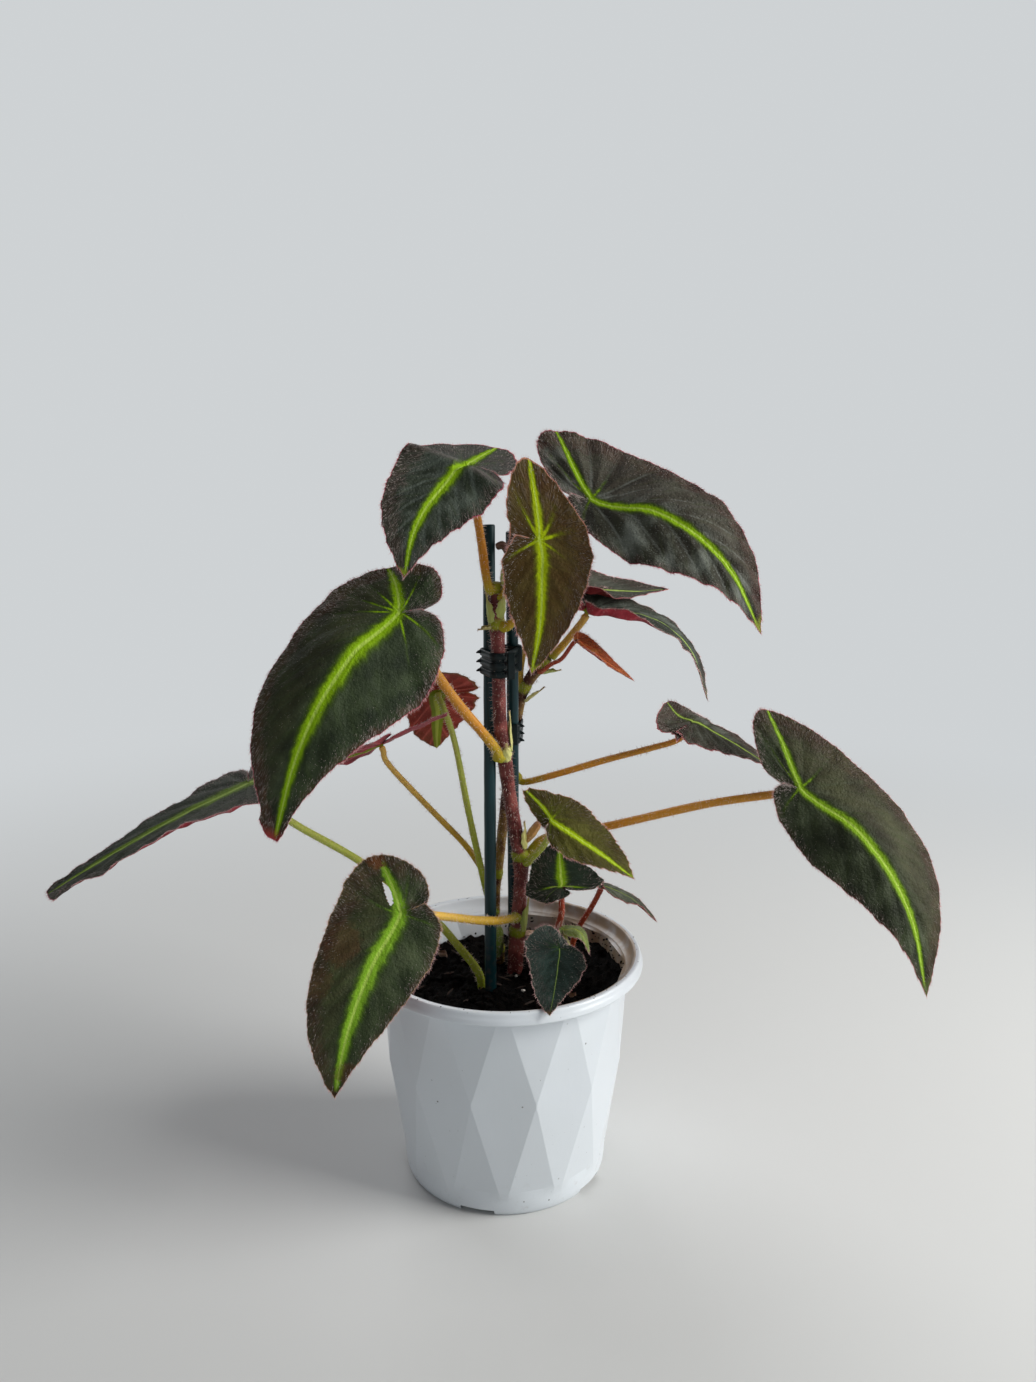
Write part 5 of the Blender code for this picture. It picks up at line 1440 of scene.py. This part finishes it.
def make_pot():
    rows = pot_rows()
    count, columns = rows.shape[:2]
    build = Build()
    build.add(rows, grid_faces(count, columns, closed=True) + end_caps(count, columns))
    pot = build.make("begonia_pot", [pot_finish()], sharp=30)
    cut_openings(pot)
    pot.data.set_sharp_from_angle(angle=math.radians(5.5))
    soften_round_parts(pot.data)
    finish_piece(pot, "pot_plastic", "pot")


# ---------------------------------------------------------------- soil and litter


def soil_height(radius, turn):
    """Uneven top of the soil, heaped a little against the wall on the right."""
    swell = 0.5 * math.sin(3 * turn + 0.6) + 0.35 * math.sin(7 * turn + 2.0) * radius / 50
    heap = max(0.0, math.cos(turn - 0.35)) ** 3 * max(0.0, radius - 38) / 14
    return SOIL_LEVEL + 2.0 * swell + 5.0 * heap


def hollow_radius(turn, height):
    """How far the pot's facetted wall lets the soil reach."""
    half = math.pi / FACETS
    off = abs((turn + math.pi / 2 + half) % (2 * half) - half)
    diamond = (body_radius(height) - WALL) / math.cos(off)
    return min(diamond, triangle_radius(height, WALL) / math.cos(half - off))


def soil_rows(turns):
    """Rings of points over the soil's clumped top, down its sides and under it."""
    shares = np.concatenate([np.linspace(0.012, 0.80, 52), np.linspace(0.82, 1.0, 16)])
    walls = [hollow_radius(turn, soil_height(54.0, turn)) - SOIL_WALL for turn in turns]
    top = np.array([on_circle(wall * share, turn, soil_height(wall * share, turn))
                    for share in shares for wall, turn in zip(walls, turns)])
    clumps = waves(top * (1, 1, 0), 6.0, 5, 4)
    crumbs = waves(top * (1, 1, 0), 1.7, 9, 3)
    edge = np.repeat(ease(0.97, 0.99, shares), len(turns))
    top[:, 2] += 1.9 * np.abs(clumps) * 1.6 - 1.0 + 0.75 * crumbs - 0.8 * edge
    sides = []
    for height in (84.0, 70.0, 55.5, 40.0, 26.0, 15.0):
        for turn in turns:
            radius = min(hollow_radius(turn, height), body_radius(height) - 3.6) - SOIL_WALL
            sides.append(on_circle(radius, turn, height))
    under = [on_circle(radius, turn, FLOOR_TOP + 0.4) for radius in (42.0, 4.0) for turn in turns]
    return np.vstack([top, sides, under])


def add_lump(build, centre, size, slot, detail=2):
    """A small irregular clod or grain."""
    ball = bmesh.new()
    bmesh.ops.create_icosphere(ball, subdivisions=detail, radius=1.0)
    points, faces = take_apart(ball)
    turn = unit(rng.normal(size=3))
    stretch = 1 + rng.uniform(-0.35, 0.35, 3)
    bumps = 1 + 0.35 * np.sin(points @ turn * 4.1 + rng.uniform(0, TAU)) * rng.uniform(0.3, 1.0)
    bumps *= 1 + 0.12 * np.sin(points @ unit(rng.normal(size=3)) * 9.0)
    build.add(points * stretch * bumps[:, None] * size * (1, 1, 0.75) + centre, faces, slot)


def scattered(count, reach):
    """Seeded places over the soil: radius and turn."""
    for _ in range(count):
        turn = rng.uniform(0, TAU)
        yield reach * math.sqrt(rng.uniform(0.0, 1.0)), turn


def make_soil():
    """The soil, with crumbs on top and grains of perlite and bark among them."""
    turns = TAU * np.arange(210) / 210
    verts = soil_rows(turns)
    count, columns = len(verts) // len(turns), len(turns)
    build = Build()
    build.add(verts, grid_faces(count, columns, closed=True) + end_caps(count, columns))
    for radius, turn in scattered(CRUMBS, 54.0):
        if radius > hollow_radius(turn, SOIL_LEVEL) - 1.6:
            continue
        size = 0.45 + 1.25 * rng.uniform() ** 3
        place = on_circle(radius, turn, soil_height(radius, turn) + rng.uniform(0.1, 1.5))
        add_lump(build, place, size, 0, detail=2 if size > 0.9 else 1)
    for radius, turn in scattered(PERLITE_GRAINS, 50.0):
        place = on_circle(radius, turn, soil_height(radius, turn) + rng.uniform(0.6, 1.8))
        add_lump(build, place, rng.uniform(0.35, 0.95), 1)
    for radius, turn in scattered(BARK_STICKS, 48.0):
        place = np.array(on_circle(radius, turn, soil_height(radius, turn) + 1.2))
        way = unit(rng.normal(size=3) * (1, 1, 0.25))
        long = rng.uniform(1.5, 4.5)
        stick = [(*(place + way * long * share), radius)
                 for share, radius in ((-1, 0.2), (-0.4, 0.5), (0.5, 0.45), (1, 0.15))]
        build.add_tube(np.array(stick), 7, 2)
    finishes = [
        soil_finish(),
        crumb_finish("perlite", 0.8, 0.9, 3.0, 0.2, (0.42, 0.38, 0.33), (0.78, 0.75, 0.70), bump_size=0.4),
        crumb_finish("bark_bits", 0.85, 0.7, 4.0, 0.3, (0.012, 0.008, 0.006), (0.060, 0.034, 0.022))]
    build.piece("potting_mix_surface", finishes, "potting_soil", "potting_soil", sharp=70)


def make_dead_leaves():
    """Thin sheets, rolled across and wavy along."""
    build = Build()
    wide, long = 15, 26
    share, across = np.linspace(0, 1, long)[:, None], np.linspace(-1, 1, wide)
    for centre, heading, size, curl in DEAD_LEAVES:
        width = size * 0.38 * np.sin(math.pi * np.minimum(1, share * 0.96 + 0.04)) ** 0.7
        bend = across * curl
        x = (share - 0.5) * size * 1.6 + 0 * bend
        y = width * np.sin(bend) / max(1.0, curl * 0.7)
        z = width * (1 - np.cos(bend)) * 0.7 + 0.7 * np.sin(share * 7 + across) + 6 * (share - 0.5) ** 2
        cos, sin = math.cos(heading), math.sin(heading)
        sheet = (np.stack([x * cos - y * sin, x * sin + y * cos, z], -1) + centre).reshape(-1, 3)
        build.add(sheet + (0.0, 0.0, 0.25), grid_faces(long, wide))
        build.add(sheet, grid_faces(long, wide, flip=True))
    build.piece("dead_leaf_litter", [dead_leaf_finish()], "twig")


def make_crumbs():
    """Soil crumbs that cling to the pot's inner wall and to its rim."""
    build = Build()
    for _ in range(WALL_CRUMBS):
        turn = rng.uniform(-0.9, 1.6)
        height = 93.5 + 8.5 * rng.uniform() ** 2.2
        radius = hollow_radius(turn, min(height, FACET_TOP)) if height < 101.6 else 56.2
        add_lump(build, on_circle(radius - 0.1, turn, height), rng.uniform(0.18, 0.75), 0, detail=1)
    for _ in range(RIM_CRUMBS):
        turn = rng.uniform(0, TAU)
        place = on_circle(rng.uniform(60.9, 63.4), turn, POT_HEIGHT)
        add_lump(build, place, rng.uniform(0.12, 0.32), 0, detail=1)
    build.piece("clinging_crumbs", [bpy.data.materials["potting_mix"]], "potting_soil", sharp=70)


# ---------------------------------------------------------------- stakes and clips


def make_stakes():
    """Straight rods with rounded ends and slight waists."""
    finish = stake_finish()
    ends = [0, 0.004, 0.012, 0.03], [0.985, 0.997, 0.9985, 0.9995, 1.0]
    shares = np.concatenate([ends[0], np.linspace(0.1, 0.9, 60), ends[1]])
    radii = np.full(len(shares), STAKE_RADIUS)
    radii[:3] = (0.6, 1.3, 2.0)
    radii[-3:] -= (0.08, 0.25, 0.55)
    radii[5:-5] += 0.035 * np.sin(np.arange(len(radii) - 10) * 1.3)
    for name, (start, end) in STAKES.items():
        run = np.array(end) - start
        build = Build()
        build.add_tube(np.hstack([start + run * shares[:, None], radii[:, None]]), 40)
        build.piece(f"plant_{name}", [finish], "stake_plastic", name, sharp=50)


def disc_at(points, height):
    """Middle and radius of a stake or stem where a clip holds it."""
    rows = np.array(points, float)
    if rows.shape[1] == 3:
        rows = np.hstack([rows, np.full((len(rows), 1), STAKE_RADIUS)])
    return columns_at(height, rows[:, 2], rows)[[0, 1, 3]]


def hull_ring(discs, grow, count):
    """Points round the hull of some discs, each grown."""
    ring = []
    for turn in TAU * np.arange(count) / count:
        way = np.array([math.cos(turn), math.sin(turn)])
        best = max(discs, key=lambda disc: np.dot(way, disc[:2]) + disc[2])
        ring.append(best[:2] + way * (best[2] + grow))
    return np.array(ring)


def add_band(build, discs, low, high, inner, outer, count=96):
    """A ring round the discs with rounded edges."""
    soft = min(0.35, (high - low) * 0.25)
    section = [(outer - soft, low), (outer, low + soft), (outer, high - soft), (outer - soft, high),
               (inner + soft, high), (inner, high - soft), (inner, low + soft), (inner + soft, low)]
    rings = [np.hstack([hull_ring(discs, grow, count), np.full((count, 1), z)]) for grow, z in section]
    faces = grid_faces(len(rings), count, closed=True)
    last = (len(rings) - 1) * count
    faces += [(last + k, last + (k + 1) % count, (k + 1) % count, k) for k in range(count)]
    build.add(np.vstack(rings), faces)


def add_block(build, centre, sizes, heading=0.0, round_by=0.5, wrap=0.0):
    """A box with rounded edges, turned about Z, and wrapped round an upright axis if asked."""
    box = bmesh.new()
    bmesh.ops.create_cube(box, size=1.0)
    bmesh.ops.scale(box, vec=sizes, verts=box.verts)
    long_edges = [e for e in box.edges if abs(e.verts[0].co.x - e.verts[1].co.x) > 0.1]
    bmesh.ops.subdivide_edges(box, edges=long_edges, cuts=10)
    sharp = [e for e in box.edges if len(e.link_faces) == 2 and e.calc_face_angle(0) > 0.5]
    bmesh.ops.bevel(box, geom=sharp, offset=round_by, segments=3, affect="EDGES", profile=0.5)
    points, faces = take_apart(box)
    x, z = points[:, 0], points[:, 2]
    y = points[:, 1] + wrap * x ** 2
    cos, sin = math.cos(heading), math.sin(heading)
    build.add(np.stack([x * cos - y * sin, x * sin + y * cos, z], 1) + centre, faces)


def add_tooth(build, foot, way, long, wide, tall):
    """A blunt claw tooth."""
    way = unit(np.array(way, float))
    side = unit(np.cross(way, (0, 0, 1.0)))
    rows = []
    for share, scale in ((-0.4, 1.0), (0.0, 1.0), (0.5, 0.72), (0.85, 0.42), (1.0, 0.18)):
        for t in TAU * np.arange(12) / 12:
            rise = math.sin(t) * tall * scale - 0.25 * long * max(0, share) ** 2
            rows.append(foot + way * long * share + side * math.cos(t) * wide * scale + (0, 0, rise))
    build.add(rows, grid_faces(5, 12, closed=True) + end_caps(5, 12))


def make_clips():
    """Two combed clips: bands round what they hold, claw teeth and latch blocks."""
    finish = clip_finish()
    middle, tall, spacing = CLIP_UPPER
    held = [disc_at(path, middle) for path in (STAKES["stake_left"], STEM_MAIN, STAKES["stake_right"])]
    left, stem, right = held
    build = Build()
    for level in (middle - spacing, middle, middle + spacing):
        add_band(build, held, level - 1.45, level + 1.45, 0.45, 1.55)
        reach = left[0] - left[2] - 1.3
        add_tooth(build, (reach, left[1] - 1.0, level + 0.3), (-1, -0.25, 0.0), 1.9, 1.0, 0.95)
        add_tooth(build, (stem[0] + 1.9, stem[1] - stem[2] - 0.9, level), (1, -0.1, 0), 1.6, 0.7, 1.25)
    add_band(build, held[:2], middle - tall / 2 + 0.4, middle + tall / 2 - 0.4, 0.3, 0.75)
    add_block(build, (stem[0] + 5.6, stem[1] - stem[2] - 0.4, middle), (3.4, 1.7, tall), heading=0.25)
    front = right[1] - right[2]
    add_block(build, (right[0] - 1.4, front - 2.2, middle), (4.0, 2.0, tall - 1.6), heading=0.5)
    add_block(build, (right[0] + 0.8, front - 1.5, middle + 0.2), (7.4, 1.9, tall - 0.4),
              heading=0.05, round_by=0.9, wrap=0.05)
    build.piece("plant_clip_upper", [finish], "clip_plastic", "clip_upper", sharp=45)
    middle, tall, spacing = CLIP_LOWER
    held = [disc_at(path, middle) for path in (STAKES["stake_right"], STEM_SECOND)]
    right = held[0]
    build = Build()
    for level in (middle - spacing, middle, middle + spacing):
        add_band(build, held, level - 1.2, level + 1.2, 0.45, 1.1)
        foot = (right[0] + right[2] + 1.1, right[1] - 0.5, level + 0.2)
        add_tooth(build, foot, (1, -0.3, 0), 1.7, 0.8, 0.85)
    add_band(build, held, middle - tall / 2 + 0.3, middle + tall / 2 - 0.3, 0.25, 0.8)
    add_block(build, (right[0] + 0.1, right[1] - right[2] - 0.9, middle), (4.6, 1.3, tall),
              round_by=0.45, wrap=0.05)
    build.piece("plant_clip_lower", [finish], "clip_plastic", "clip_lower", sharp=45)


# ---------------------------------------------------------------- stage


def make_camera():
    camera = bpy.data.cameras.new("camera")
    camera.sensor_width = SENSOR
    camera.lens = FOCAL * SENSOR / FRAME_SIDE
    camera.clip_start = 0.01
    obj = link_new("camera", camera)
    obj.location = CAMERA_AT
    obj.rotation_euler = (math.radians(90 - CAMERA_PITCH), 0, 0)
    bpy.context.scene.camera = obj


def area_light(name, at, towards, size, power, colour):
    lamp = bpy.data.lights.new(name, "AREA")
    lamp.shape = "RECTANGLE"
    lamp.size, lamp.size_y = size
    lamp.energy = power
    lamp.color = colour
    obj = link_new(name, lamp)
    obj.location = at
    obj.rotation_euler = (Vector(towards) - Vector(at)).to_track_quat("-Z", "Y").to_euler()


def mix_shaders(tree, share, near, far, output):
    """Shows one shader or the other at a tree's output, by a share from 0 to 1."""
    mix = tree.nodes.new("ShaderNodeMixShader")
    for socket, source in zip(mix.inputs, (share, near, far)):
        tree.links.new(source, socket)
    tree.links.new(mix.outputs[0], tree.nodes[output].inputs[0])


def make_world():
    """A soft sky that lights the plant, and a plain backdrop that the camera sees."""
    world = bpy.data.worlds.new("studio")
    bpy.context.scene.world = world
    world.use_nodes = True
    tree = world.node_tree
    light = tree.nodes["Background"]
    light.inputs[0].default_value = (*SKY, 1.0)
    light.inputs[1].default_value = WORLD_LIGHT
    shown = tree.nodes.new("ShaderNodeBackground")
    shown.inputs[0].default_value = (*BACKGROUND, 1.0)
    path = tree.nodes.new("ShaderNodeLightPath")
    either = tree.nodes.new("ShaderNodeMath")
    either.operation = "MAXIMUM"
    tree.links.new(path.outputs["Is Camera Ray"], either.inputs[0])
    tree.links.new(path.outputs["Is Transmission Ray"], either.inputs[1])
    mix_shaders(tree, either.outputs[0], light.outputs[0], shown.outputs[0], "World Output")


def make_floor():
    """A pale round floor that turns into the backdrop away from the pot."""
    mesh = bpy.data.meshes.new("floor")
    disc = bmesh.new()
    bmesh.ops.create_circle(disc, cap_ends=True, segments=96, radius=FLOOR_RADIUS)
    disc.to_mesh(mesh)
    disc.free()
    f = Finish("floor_surface", roughness=0.85)
    shade = tuple(c * 0.9 for c in FLOOR_COLOUR)
    material = f.done(f.cover(FLOOR_COLOUR, shade, f.noise(14.0, detail=3.0), 0.1))
    glow = f.tree.nodes.new("ShaderNodeEmission")
    glow.inputs[0].default_value = (*BACKGROUND, 1.0)
    share = f.rise(f.vector("LENGTH", f.place), *FLOOR_FADE)
    mix_shaders(f.tree, share, f.shader.outputs[0], glow.outputs[0], "Material Output")
    mesh.materials.append(material)
    floor = link_new("floor", mesh)


# ---------------------------------------------------------------- the whole plant
VEIN_POINTS, VEIN_SHARES = vein_points()
STEMS = {"main": smooth_path(STEM_MAIN, 4), "second": smooth_path(STEM_SECOND, 4)}
HAIRS = {
    "pale": bristle_finish("hair_pale", (0.26, 0.21, 0.19), (0.52, 0.46, 0.42)),
    "rim": bristle_finish("hair_rim", (0.62, 0.22, 0.26), (0.80, 0.66, 0.60)),
    "stalk": bristle_finish("hair_stalk", (0.72, 0.58, 0.48), (0.88, 0.80, 0.72)),
    "stem": bristle_finish("hair_stem", (0.45, 0.28, 0.25), (0.78, 0.66, 0.58)),
}

bpy.context.scene.view_settings.view_transform = "Standard"
make_camera()
make_world()
make_floor()
for name, settings in LAMPS.items():
    area_light(name, *settings)
make_pot()
make_soil()
make_dead_leaves()
make_crumbs()
make_stakes()
make_clips()
make_stem("main", STEM_MAIN, NODES_MAIN, SKIN_MAIN, 7.0)
make_stem("second", STEM_SECOND, NODES_SECOND, SKIN_SECOND, 6.0)
for number, (name, leaf) in enumerate(LEAVES.items()):
    look = {**USUAL_LOOK, **LOOKS[name]}
    make_blade(name, leaf, look, number + 1)
    make_stalk(name, leaf, look)
make_sprouts()
make_twig()
